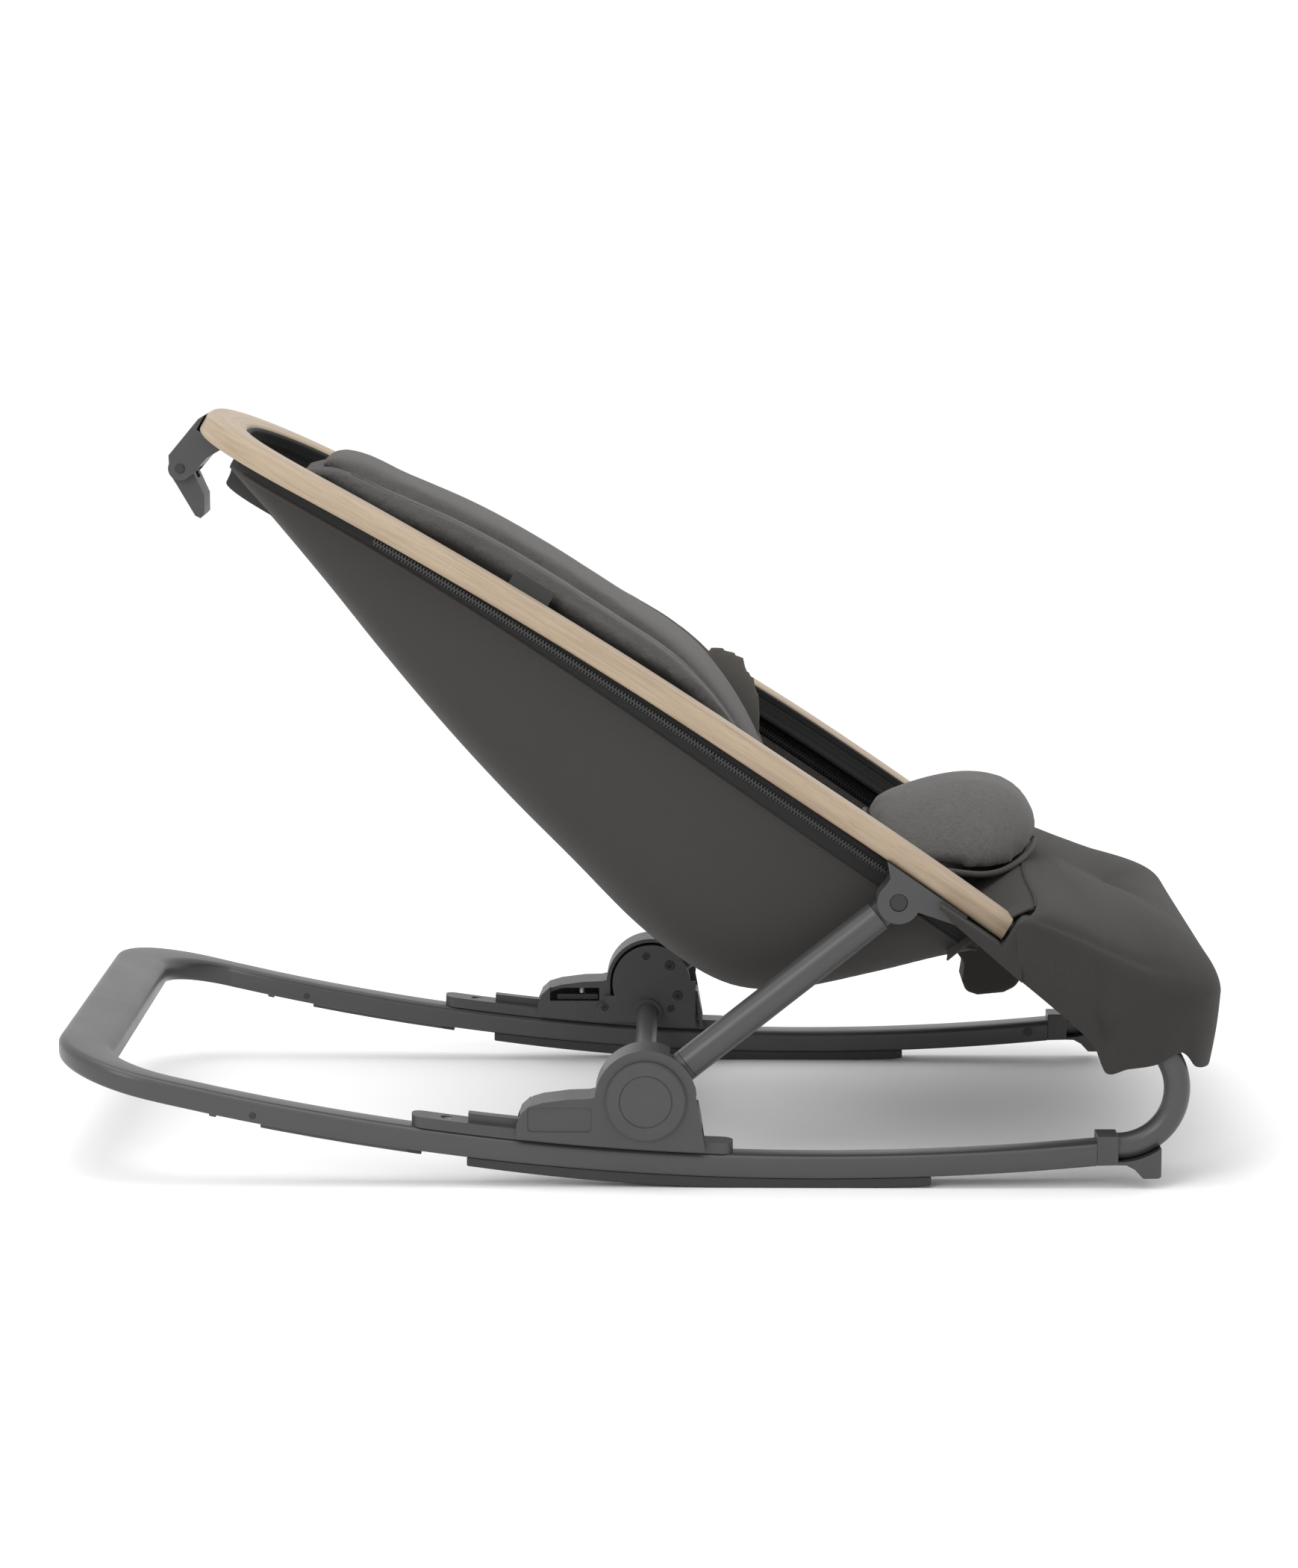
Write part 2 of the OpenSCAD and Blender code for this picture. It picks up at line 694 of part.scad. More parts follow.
module seat_bracket_right() {
    color(dark) difference() {
        union() {
            side(-cheek_out - cheek, -cheek_out) bracket_shape();
            side(-cheek_in, -cheek_in + cheek) bracket_shape();
            // bridge over the strut's head, under the wood
            side(-cheek_out, -cheek_in) difference() {
                bracket_shape();
                translate(seat_pin) circle(head_eye_r + 5);
                translate(seat_pin) rotate(180 + seat_slope) translate([0, -40]) square([90, 80]);
            }
        }
        bar(seat_pin, seat_pin_d, -cheek_out - 20, -cheek_in + 20);
        bar(seat_pin, 13, -cheek_out - cheek - 1, -cheek_out - cheek + 2);
    }
}
module seat_bracket_left() {
    left() seat_bracket_right();
}
module bracket_pins() {
    color(darker) for (m = [0, 1]) mirror([0, m, 0]) {
        bar(seat_pin, seat_pin_d, -cheek_out - cheek + 2, -cheek_in + cheek);
        bar(seat_pin, 12.6, -cheek_out - cheek + 1, -cheek_out - cheek + 2);
    }
}

// ---- head bracket and fold clip ---------------------------------------------
bracket_half = 27;
clip_gap = 20;
clip_pin_d = 7;
module head_shape() {
    crown = seat_point(wood_s0 + 26, wood_bottom(wood_s0 + 26) - 0.3);
    edge = seat_point(wood_s0 - 0.3, wood_bottom(wood_s0));
    top = seat_point(wood_s0 - 0.3, wood_bottom(wood_s0) + 13);
    polygon([crown, edge, top, top + [-5, -3], clip_at + [-8.5, 10], clip_at + [-8, -4],
             clip_at + [3, -9], clip_at + [10, -4], clip_at + [20, 8]]);
    translate(clip_at) circle(9);
}
module head_bracket() {
    color(dark) difference() {
        side(-bracket_half, bracket_half) head_shape();
        side(-clip_gap, clip_gap) {
            translate(clip_at) circle(12.5);
            translate(clip_at + [-30, -40]) square([60, 40]);
        }
        bar(clip_at, clip_pin_d, -bracket_half - 1, bracket_half + 1);
    }
}
module clip_pin() {
    color(darker) {
        bar(clip_at, clip_pin_d, -bracket_half - 1, bracket_half + 1);
    }
}
module fold_clip() {
    tip = clip_at + [15, -37];
    color(dark) difference() {
        side(-clip_gap + 0.5, clip_gap - 0.5) {
            translate(clip_at) circle(9.5);
            polygon([clip_at + [-9, -4], clip_at + [-4, -12], tip + [-5, 1], tip + [-1, -1],
                     tip + [2, 2], tip + [2, 16], clip_at + [9, -3]]);
        }
        bar(clip_at, clip_pin_d + 2 * run_fit, -30, 30);
        // pocket for the spring
        side(-8, 8) translate(clip_at) circle(14);
    }
}
module clip_spring() {
    color(steel) difference() {
        bar(clip_at, clip_pin_d + 5.4, -7, 7);
        bar(clip_at, clip_pin_d + 2, -8, 8);
    }
}

// ---- soft parts -------------------------------------------------------------
// Depth of the hammock below the frame: two straight falls joined by a soft bend
deep_s = -47;
fall_bend = 35;
function soft_min(a, b, k) = -k * ln(exp(-a / k) + exp(-b / k));
function depth(s) =
    soft_min(hammock_depth + 0.36 * (s - deep_s), hammock_depth - 1.18 * (s - deep_s), fall_bend);
// Half of a boxy ellipse, from one rim round the bottom to the other
function bowl(w, d, k, p) = [for (i = [0:k])
    let (a = 180 * i / k) [-w * sign(cos(a)) * pow(abs(cos(a)), p), -d * pow(sin(a), p)]];
hammock_s0 = -560;
hammock_s1 = 96;
rim_in = 24;
bowl_pow = 0.45;
bowl_k = 20;
function hammock_ring(s) =
    let (w = wood_w(s, rim_in), d = depth(s), n = wood_bottom(s) - soft_gap,
         outer = bowl(w, d, bowl_k, bowl_pow), inner = bowl(w - skin, d - skin, bowl_k, bowl_pow))
    concat([for (p = outer) [s, p[0], n + p[1]]],
           [for (i = [bowl_k:-1:0]) [s, inner[i][0], n + inner[i][1]]]);
module hammock_shell() {
    steps = 16;
    run = hammock_s1 - hammock_s0;
    color(fabric) seat_frame()
        sheet_loft([for (i = [0:steps]) hammock_ring(hammock_s0 + run * i / steps)]);
}
// Closed oval ring in the (y, n) plane at s
function oval_ring(s, w, n0, n1, k) = [for (i = [0:k - 1])
    let (a = 360 * i / k, c = cos(a), q = sin(a))
    [s, w * sign(c) * pow(abs(c), 0.6), (n0 + n1) / 2 + (n1 - n0) / 2 * sign(q) * pow(abs(q), 0.7)]];
label_s = -330;
liner_s0 = -540;
liner_s1 = -30;
// Height of the liner's upper face: on the wood at the head, sinking into the hammock
function liner_top(s) =
    let (u = (s - liner_s0) / (liner_s1 - liner_s0))
    296 + 32 * sin(180 * min(1, u * 1.15)) - 100 * pow(max(0, (u - 0.42) / 0.58), 1.5);
function liner_half(s) = 0.94 * wood_w(s, board_w + 4);
module seat_liner() {
    steps = 12;
    color(melange) seat_frame() loft([for (i = [0:steps])
        let (u = i / steps, s = liner_s0 + (liner_s1 - liner_s0) * u,
             t = liner_t * (0.35 + 0.65 * sin(180 * min(max(u, 0.04), 0.96))))
        oval_ring(s, liner_half(s) * (u < 0.05 ? 0.8 : 1), liner_top(s) - t,
                  liner_top(s), 24)]);
}
// A crowned pad whose sides droop: it rises out of the seat and curls over at the front
module crotch_pad() {
    steps = 12;
    pad_half = 96;
    droop = 54;
    color(melange) seat_frame() loft([for (i = [0:steps])
        let (u = i / steps, r = sqrt(max(0.03, 1 - pow(2 * u - 1, 2))), s = -4 + 121 * u,
             mid = 274 + 58 * sin(128 * u))
        [for (p = oval_ring(s, pad_half * r, mid - 14 * r, mid + 15 * r, 24))
            p - [0, 0, droop * pow(p[1] / pad_half, 2)]]]);
}
// A soft wing that stands on the liner
module waist_belt() {
    color(fabric) seat_frame() loft([for (i = [0:8])
        let (u = i / 8, r = sqrt(max(0.03, 1 - pow(2 * u - 1, 2))), s = -205 + 110 * u)
        [for (j = [0:15]) let (a = 360 * j / 16)
            [s, 95 + 9 * cos(a) * r + 10 * u, liner_top(s) + 2 + 31 * r * (1 + sin(a))]]]);
}
apron_lap = 14.5;
apron_y = rail_y + apron_lap;
// Side view of the front apron; t is 0 for its outside, else how far the inside lies in
module apron_shape(t) {
    wood_end = seat_point(wood_s1 + 2, wood_bottom(wood_s1) - soft_gap);
    front = apron_front - t;
    upper = [wood_end + [38 + t * 0.6, 36 - t], wood_end + [52, 41 - t],
             [front - 32, 188 - t], [front - 8, 165 - t],
             [front, 148], [front - 5, 128], [front - 14, 84]];
    polygon(t > 0
        ? concat(upper, [[front - 40, 60], [300, 60], [215, 150], [215, 200 + t],
                         wood_end + [5 + t * 0.6, 14]])
        : concat(upper, [[front - 40, 90], [338, 81], [300, 125], wood_end + [-40, 6],
                         wood_end + [5, 1]]));
}
module front_apron() {
    color(fabric) difference() {
        side(-apron_y, apron_y) apron_shape(0);
        side(-apron_y + skin, apron_y - skin) apron_shape(skin);
    }
}
module side_label() {
    color(darker) seat_frame() translate([label_s, -liner_half(label_s) - 3, 300])
        rotate([0, 0, -flare]) cube([34, 1.2, 14]);
}
module belt_anchor() {
    top = seat_point(88, wood_bottom(88) - depth(88) - 2 * soft_gap);
    color(rubber) side(-22, 22)
        polygon([top, top + [28, -8], top + [45, -23], top + [62, -38], top + [58, -47],
                 top + [48, -52], top + [28, -54], top + [19, -51], top + [16, -43],
                 top + [18, -30], top + [6, -12]]);
}

base_frame();
connector_right();
connector_left();
front_arm_right();
front_arm_left();
front_cross_tube();
rocker_pad_right();
rocker_pad_left();
track_right();
track_left();
track_screws();
connector_screws();
leg_bolts();
leg_stops();
leg_right();
leg_left();
leg_tip_right();
leg_tip_left();
housing_right();
housing_left();
inner_cover_right();
inner_cover_left();
hub_cap_right();
hub_cap_left();
hub_pins();
crossbar();
cover_screws();
cover_bolts();
trigger_right();
trigger_left();
trigger_spring_right();
trigger_spring_left();
strut_tube_right();
strut_tube_left();
strut_foot_right();
strut_foot_left();
strut_head_right();
strut_head_left();
wood_frame();
seat_front_tube();
seat_hinge_right();
seat_hinge_left();
seat_bracket_right();
seat_bracket_left();
bracket_pins();
head_bracket();
clip_pin();
hammock_shell();
seat_liner();
crotch_pad();
waist_belt();
front_apron();
side_label();
belt_anchor();
fold_clip();
clip_spring();
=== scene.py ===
import json
import math

import bmesh
import bpy
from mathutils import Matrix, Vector

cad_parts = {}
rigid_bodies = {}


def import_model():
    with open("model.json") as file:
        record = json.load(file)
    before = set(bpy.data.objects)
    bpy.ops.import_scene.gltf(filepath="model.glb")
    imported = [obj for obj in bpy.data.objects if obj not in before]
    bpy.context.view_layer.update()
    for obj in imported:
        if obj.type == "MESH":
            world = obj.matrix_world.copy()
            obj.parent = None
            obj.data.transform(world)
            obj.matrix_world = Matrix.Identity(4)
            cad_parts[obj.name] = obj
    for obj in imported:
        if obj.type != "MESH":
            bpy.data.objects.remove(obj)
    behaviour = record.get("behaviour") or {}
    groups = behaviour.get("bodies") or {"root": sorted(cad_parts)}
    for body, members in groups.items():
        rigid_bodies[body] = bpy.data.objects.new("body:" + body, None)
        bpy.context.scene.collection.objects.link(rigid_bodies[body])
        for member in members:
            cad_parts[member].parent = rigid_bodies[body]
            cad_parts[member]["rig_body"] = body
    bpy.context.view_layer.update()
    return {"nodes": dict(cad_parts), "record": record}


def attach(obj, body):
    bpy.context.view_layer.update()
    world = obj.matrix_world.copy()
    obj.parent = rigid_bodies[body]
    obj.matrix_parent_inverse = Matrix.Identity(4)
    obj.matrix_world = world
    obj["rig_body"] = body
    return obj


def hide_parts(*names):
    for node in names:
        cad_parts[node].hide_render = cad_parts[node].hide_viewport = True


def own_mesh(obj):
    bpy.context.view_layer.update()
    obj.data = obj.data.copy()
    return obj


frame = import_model()
MM = 0.001
SLOTS = {p["node"]: p["material_slot"] for p in frame["record"]["subparts"]}
BODY = {n: o["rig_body"] for n, o in frame["nodes"].items()}

# ---- camera: the photograph's viewing angle ---------------------------------
camera = bpy.data.objects.new("camera", bpy.data.cameras.new("camera"))
camera.data.lens = 96.0
camera.data.sensor_width = 36.0
camera.data.clip_start = 0.05
camera.data.clip_end = 60.0
camera.location = (0.040, -3.1601, 0.7476)
camera.rotation_euler = (math.radians(81.238), 0.0, math.radians(0.595))
bpy.context.scene.collection.objects.link(camera)
bpy.context.scene.camera = camera

bpy.context.scene.view_settings.view_transform = "Standard"

# ---- shared sizes, in mm: the same curves as the frame ----------------------
RAIL_H, ROCK_R, ROCK_X = 17.0, 2072.0, 130.0
ROCK_CZ = 7.0 + ROCK_R
SLOPE = math.radians(30)
# the wood: its ends along the seat, half width, bend and board width, then the head's arch
WOOD_S0, WOOD_S1, HALF, BEND_R, BOARD = -588.0, 103.0, 207.0, 470.0, 32.0
ARCH_W, ARCH_L, ARCH_POW, FLARE_AT = 124.0, 150.0, 2.5, 0.36
ARCH_BLEND, SIDE_RUN = 6.0, 356.0
FLARE = math.atan((HALF - ARCH_W - ARCH_BLEND) / SIDE_RUN)
HEAD_S = WOOD_S0 + ARCH_L
FLARE_S = HEAD_S - FLARE_AT * ARCH_L
FLARE_W = ARCH_W * (1 - FLARE_AT ** ARCH_POW) ** (1 / ARCH_POW)
BEND_S = FLARE_S + (HALF - BEND_R * (1 - math.cos(FLARE)) - FLARE_W) / math.tan(FLARE)
BEND_END = BEND_S + BEND_R * math.sin(FLARE)


def rail_bottom(x):
    return ROCK_CZ - math.sqrt(ROCK_R ** 2 - (x - ROCK_X) ** 2)


def rail_top(x):
    return ROCK_CZ - math.sqrt((ROCK_R - RAIL_H) ** 2 - (x - ROCK_X) ** 2)


def ring_through(p):
    (ax, ay), (bx, by), (cx, cy) = p
    d = 2 * (ax * (by - cy) + bx * (cy - ay) + cx * (ay - by))
    qa, qb, qc = ax * ax + ay * ay, bx * bx + by * by, cx * cx + cy * cy
    x = (qa * (by - cy) + qb * (cy - ay) + qc * (ay - by)) / d
    y = (qa * (cx - bx) + qb * (ax - cx) + qc * (bx - ax)) / d
    return x, y, math.hypot(ax - x, ay - y)


BOARD_T = 17.2
CROWN = [(WOOD_S0, 292.5), (-200, 302.7), (WOOD_S1, 283.5)]
HIGH = ring_through(CROWN)
LOW = ring_through([(s, n - BOARD_T) for s, n in CROWN])


def wood_bottom(s):
    return LOW[1] + math.sqrt(LOW[2] ** 2 - (s - LOW[0]) ** 2)


def wood_top(s):
    return HIGH[1] + math.sqrt(HIGH[2] ** 2 - (s - HIGH[0]) ** 2)


def wood_w(s, inset=0.0):
    """Half width of the wooden outline, inset, at s."""
    if s < FLARE_S:
        x = min(1.0, (HEAD_S - s) / (ARCH_L - inset))
        return (ARCH_W - inset) * (1 - x ** ARCH_POW) ** (1 / ARCH_POW)
    if s < BEND_S:
        return FLARE_W + (s - FLARE_S) * math.tan(FLARE) - inset / math.cos(FLARE)
    if s < BEND_END:
        return HALF - BEND_R + math.sqrt(BEND_R ** 2 - (BEND_END - s) ** 2) - inset
    return HALF - inset


def seat(s, y, n):
    """A point given in the seat's own frame, in the row frame, in mm."""
    return Vector((40 + s * math.cos(SLOPE) + n * math.sin(SLOPE), y,
                   n * math.cos(SLOPE) - s * math.sin(SLOPE)))


# Depth of the hammock below the wood, along the seat
DEPTHS = [(-560, 10), (-520, 24), (-450, 53), (-384, 81), (-317, 106), (-252, 126), (-187, 142),
          (-122, 157), (-70, 161), (-34, 155), (0, 134), (46, 86), (81, 44), (100, 22)]


def through(knots, s):
    """Height at s on a smooth line through knots (place, height): a Catmull-Rom spline."""
    for i in range(len(knots) - 1):
        if s <= knots[i + 1][0] or i == len(knots) - 2:
            break
    a, b, c, d = (knots[max(0, i - 1)], knots[i], knots[i + 1], knots[min(len(knots) - 1, i + 2)])
    u = max(0.0, min(1.0, (s - b[0]) / (c[0] - b[0])))
    m0 = (c[1] - a[1]) / (c[0] - a[0]) * (c[0] - b[0])
    m1 = (d[1] - b[1]) / (d[0] - b[0]) * (c[0] - b[0])
    return ((2 * u ** 3 - 3 * u ** 2 + 1) * b[1] + (u ** 3 - 2 * u ** 2 + u) * m0
            + (3 * u ** 2 - 2 * u ** 3) * c[1] + (u ** 3 - u ** 2) * m1)


def depth(s):
    return through(DEPTHS, s)


def smooth(t):
    t = max(0.0, min(1.0, t))
    return t * t * (3 - 2 * t)


def lerp(a, b, t):
    return a + (b - a) * t


# ---- materials --------------------------------------------------------------
class Paint:
    """A procedural material: short helpers over its node tree."""

    def __init__(self, name, color, rough, **sockets):
        self.m = bpy.data.materials.new(name)
        self.m.use_nodes = True
        self.t = self.m.node_tree
        self.bsdf = next(n for n in self.t.nodes if n.type == "BSDF_PRINCIPLED")
        self.bsdf.inputs["Base Color"].default_value = (*color, 1)
        self.bsdf.inputs["Roughness"].default_value = rough
        for key, value in sockets.items():
            self.bsdf.inputs[key.replace("_", " ")].default_value = value
        self.coord = self.t.nodes.new("ShaderNodeTexCoord")

    def node(self, kind, **inputs):
        n = self.t.nodes.new("ShaderNode" + kind)
        for key, value in inputs.items():
            socket = n.inputs[key.replace("_", " ")]
            if isinstance(value, bpy.types.NodeSocket):
                self.t.links.new(value, socket)
            else:
                socket.default_value = value
        return n

    def space(self, which="Object", scale=(1, 1, 1), turn=(0, 0, 0)):
        m = self.node("Mapping", Vector=self.coord.outputs[which])
        m.inputs["Scale"].default_value = scale
        m.inputs["Rotation"].default_value = turn
        return m.outputs["Vector"]

    def noise(self, vector, scale, detail=3.0, rough=0.5, distortion=0.0):
        n = self.node("TexNoise", Vector=vector, Scale=scale, Detail=detail, Roughness=rough,
                      Distortion=distortion)
        return n.outputs["Fac"]

    def ramp(self, fac, stops):
        n = self.node("ValToRGB", Fac=fac)
        while len(n.color_ramp.elements) < len(stops):
            n.color_ramp.elements.new(0.5)
        for e, (at, c) in zip(n.color_ramp.elements, stops):
            e.position = at
            e.color = (*c, 1) if hasattr(c, "__len__") else (c, c, c, 1)
        return n.outputs["Color"]

    def math(self, op, a, b=0.0, c=0.0):
        n = self.t.nodes.new("ShaderNodeMath")
        n.operation = op
        for i, value in enumerate((a, b, c)):
            if isinstance(value, bpy.types.NodeSocket):
                self.t.links.new(value, n.inputs[i])
            else:
                n.inputs[i].default_value = value
        return n.outputs[0]

    def mix(self, fac, a, b, kind="MIX"):
        n = self.t.nodes.new("ShaderNodeMix")
        n.data_type = "RGBA"
        n.blend_type = kind
        for key, value in ((0, fac), (6, a), (7, b)):
            if isinstance(value, bpy.types.NodeSocket):
                self.t.links.new(value, n.inputs[key])
            else:
                n.inputs[key].default_value = (*value, 1) if hasattr(value, "__len__") else value
        return n.outputs[2]

    def color(self, socket):
        self.t.links.new(socket, self.bsdf.inputs["Base Color"])

    def rough(self, socket, low, high):
        n = self.node("MapRange", Value=socket)
        n.inputs["To Min"].default_value = low
        n.inputs["To Max"].default_value = high
        self.t.links.new(n.outputs["Result"], self.bsdf.inputs["Roughness"])

    def bump(self, height, distance, strength=1.0):
        n = self.node("Bump", Height=height, Strength=strength, Distance=distance)
        self.t.links.new(n.outputs["Normal"], self.bsdf.inputs["Normal"])


def plastic(name, color, rough=0.42, grain=0.00006, spread=0.12):
    """Moulded plastic or powder coat: a fine grain, slight cloudiness in colour and gloss."""
    p = Paint(name, color, rough)
    fine = p.noise(p.space(), 1900, 2.0, 0.55)
    cloud = p.noise(p.space(), 26, 4.0, 0.55)
    lo, hi = [c * (1 - spread) for c in color], [c * (1 + spread) for c in color]
    p.color(p.mix(0.25, p.ramp(cloud, [(0.3, lo), (0.7, hi)]),
                  p.ramp(fine, [(0.3, lo), (0.7, hi)])))
    p.rough(cloud, rough - 0.06, rough + 0.08)
    p.bump(fine, grain, 0.6)
    return p.m


def metal(name, color, rough):
    p = Paint(name, color, rough, Metallic=1.0)
    line = p.noise(p.space(scale=(60, 60, 900)), 4, 2.0, 0.6)
    p.color(p.ramp(line, [(0.3, [c * 0.8 for c in color]), (0.7, [c * 1.12 for c in color])]))
    p.rough(line, rough - 0.07, rough + 0.1)
    p.bump(line, 0.00002, 0.5)
    return p.m


def woven(name, color, pitch=0.0006, depth_m=0.00018, rough=0.88, sheen=0.25, spread=0.16):
    """Plain weave from the sheet's own coordinates: warp and weft threads with slubs."""
    p = Paint(name, color, rough)
    p.bsdf.inputs["Sheen Weight"].default_value = sheen
    p.bsdf.inputs["Sheen Roughness"].default_value = 0.45
    uv = p.space("UV")
    part = p.node("SeparateXYZ", Vector=uv)
    k = 2 * math.pi / pitch
    warp = p.math("SINE", p.math("MULTIPLY", part.outputs["X"], k))
    weft = p.math("SINE", p.math("MULTIPLY", part.outputs["Y"], k))
    threads = p.math("MULTIPLY", warp, weft)
    slub = p.noise(p.space("UV", (140, 900, 1)), 1.0, 3.0, 0.6)
    slub2 = p.noise(p.space("UV", (900, 140, 1)), 1.0, 3.0, 0.6)
    cloud = p.noise(p.space(), 14, 4.0, 0.6)
    tone = p.math("ADD", p.math("MULTIPLY", p.math("ADD", slub, slub2), 0.5),
                  p.math("MULTIPLY", threads, 0.10))
    lo, hi = [c * (1 - spread) for c in color], [c * (1 + spread) for c in color]
    p.color(p.mix(0.35, p.ramp(tone, [(0.3, lo), (0.7, hi)]),
                  p.ramp(cloud, [(0.3, lo), (0.7, hi)])))
    p.rough(slub, rough - 0.05, min(1.0, rough + 0.06))
    p.bump(p.math("ADD", p.math("MULTIPLY", threads, 0.5), slub), depth_m, 0.6)
    return p.m


def jersey(name, dark, light, rough=0.95, grain=0.00035):
    """Melange jersey: two tones of fibre mixed in short streaks, with a soft nap."""
    p = Paint(name, dark, rough)
    p.bsdf.inputs["Sheen Weight"].default_value = 0.10
    p.bsdf.inputs["Sheen Roughness"].default_value = 0.5
    streak = p.noise(p.space(scale=(260, 1500, 260)), 1.0, 3.0, 0.7)
    loops = p.noise(p.space(scale=(1300, 520, 1300)), 1.0, 2.0, 0.6)
    cloud = p.noise(p.space(), 22, 4.0, 0.6)
    p.color(p.mix(0.2, p.mix(0.5, p.ramp(streak, [(0.36, dark), (0.64, light)]),
                             p.ramp(loops, [(0.34, dark), (0.68, light)])),
                  p.ramp(cloud, [(0.3, dark), (0.7, light)])))
    p.bump(p.math("ADD", loops, streak), grain, 0.55)
    return p.m


def oak(name):
    """Lacquered light oak: u runs along the grain, v round the board."""
    p = Paint(name, (0.52, 0.39, 0.26), 0.5)
    p.bsdf.inputs["Coat Weight"].default_value = 0.12
    p.bsdf.inputs["Coat Roughness"].default_value = 0.4
    wide = p.noise(p.space("UV", (2.2, 60, 1)), 1.0, 5.0, 0.62, 0.6)
    fibre = p.noise(p.space("UV", (28, 1500, 1)), 1.0, 3.0, 0.7)
    pore = p.noise(p.space("UV", (55, 2600, 1)), 1.0, 2.0, 0.8)
    rings = p.noise(p.space("UV", (5, 190, 1)), 1.0, 4.0, 0.6, 1.2)
    tone = p.ramp(wide, [(0.25, (0.27, 0.200, 0.128)), (0.5, (0.335, 0.258, 0.176)),
                         (0.75, (0.385, 0.308, 0.220))])
    tone = p.mix(0.42, tone, p.ramp(rings, [(0.40, (0.20, 0.135, 0.080)),
                                            (0.55, (0.38, 0.298, 0.208))]))
    tone = p.mix(0.38, tone, p.ramp(fibre, [(0.3, (0.20, 0.14, 0.085)),
                                            (0.7, (0.43, 0.34, 0.245))]))
    dark = p.ramp(pore, [(0.30, 1.0), (0.38, 0.0)])
    p.color(p.mix(p.math("MULTIPLY", dark, 0.6), tone, (0.12, 0.075, 0.042)))
    p.rough(fibre, 0.42, 0.58)
    p.bump(p.math("ADD", fibre, p.math("MULTIPLY", rings, 0.5)), 0.00012, 0.5)
    return p.m


GREY = plastic("moulded_grey", (0.041, 0.041, 0.042))
TUBE = plastic("coated_tube", (0.045, 0.045, 0.046), 0.34, 0.00003, 0.06)
RUBBER = plastic("soft_rubber", (0.020, 0.020, 0.021), 0.62, 0.0001)
BLACK = plastic("black_parts", (0.012, 0.012, 0.013), 0.4)
STEEL = metal("plain_steel", (0.42, 0.42, 0.43), 0.3)
OAK = oak("light_oak")
HAMMOCK = woven("hammock_cloth", (0.026, 0.0228, 0.0202), 0.0005, 0.00010, 0.8, 0.06, 0.10)
APRON = woven("ripstop_cloth", (0.0215, 0.0188, 0.0166), 0.0014, 0.0004, 0.88, 0.05, 0.22)
BAND = woven("black_band", (0.007, 0.007, 0.007), 0.0007, 0.0002, 0.8, 0.05, 0.2)
LINER = jersey("grey_melange", (0.026, 0.0238, 0.0218), (0.064, 0.059, 0.0545))
LINER_LOW = jersey("dark_melange", (0.034, 0.031, 0.028), (0.074, 0.068, 0.062))
PAD = jersey("light_melange", (0.048, 0.045, 0.042), (0.112, 0.107, 0.101))
BELT = woven("belt_cloth", (0.056, 0.051, 0.046), 0.0006, 0.00012, 0.85, 0.10, 0.10)
LABEL = woven("label_cloth", (0.035, 0.035, 0.035), 0.0005, 0.0001, 0.8, 0.2, 0.1)

PAINT = {"grey_frame": GREY, "grey_tube": TUBE, "black_rubber": RUBBER, "steel": STEEL,
         "black_screws": BLACK, "oak": OAK, "dark_fabric": HAMMOCK, "grey_jersey": LINER,
         "label_fabric": LABEL}


# ---- mesh helpers -----------------------------------------------------------
def link(obj):
    bpy.context.scene.collection.objects.link(obj)
    return obj


def finish_mesh(name, bm, material, sharp=40, body=None, slot=None, replaces=(), materials=()):
    me = bpy.data.meshes.new(name)
    bm.normal_update()
    bm.to_mesh(me)
    bm.free()
    for m in (material, *materials):
        me.materials.append(m)
    me.shade_smooth()
    if sharp:
        me.set_sharp_from_angle(angle=math.radians(sharp))
    obj = link(bpy.data.objects.new(name, me))
    if body:
        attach(obj, body)
    if replaces:
        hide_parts(*replaces)
    return obj


def surface(name, rows, material, closed=False, capped=False, paint=None, **extra):
    """A grid of points in mm as a mesh with coordinates in metres along and across it.
    closed joins each row's ends; paint(i, j) picks a face's material."""
    bm = bmesh.new()
    grid = [[bm.verts.new(Vector(p) * MM) for p in row] for row in rows]
    uv = bm.loops.layers.uv.new("along")
    n, m = len(rows), len(rows[0])
    across = m if closed else m - 1
    length = [0.0]
    for i in range(1, n):
        length.append(length[-1] + sum((grid[i][j].co - grid[i - 1][j].co).length
                                       for j in range(m)) / m)
    girth = []
    for row in grid:
        g = [0.0]
        for j in range(across):
            g.append(g[-1] + (row[(j + 1) % m].co - row[j].co).length)
        girth.append(g)
    for i in range(n - 1):
        for j in range(across):
            k = (j + 1) % m
            quad = [(grid[i][j], i, j), (grid[i][k], i, j + 1), (grid[i + 1][k], i + 1, j + 1),
                    (grid[i + 1][j], i + 1, j)]
            if len({id(q[0]) for q in quad}) < 4:
                continue
            f = bm.faces.new([q[0] for q in quad])
            for loop, (_, a, b) in zip(f.loops, quad):
                loop[uv].uv = (length[a], girth[a][b])
            if paint:
                f.material_index = paint(i, j)
    if capped:
        bm.faces.new(list(reversed(grid[0])))
        bm.faces.new(grid[-1])
    bmesh.ops.remove_doubles(bm, verts=bm.verts, dist=1e-6)
    bmesh.ops.recalc_face_normals(bm, faces=bm.faces)
    return finish_mesh(name, bm, material, **extra)


def modifier(obj, kind, **values):
    m = obj.modifiers.new(kind.lower(), kind)
    for key, value in values.items():
        setattr(m, key, value)
    return m


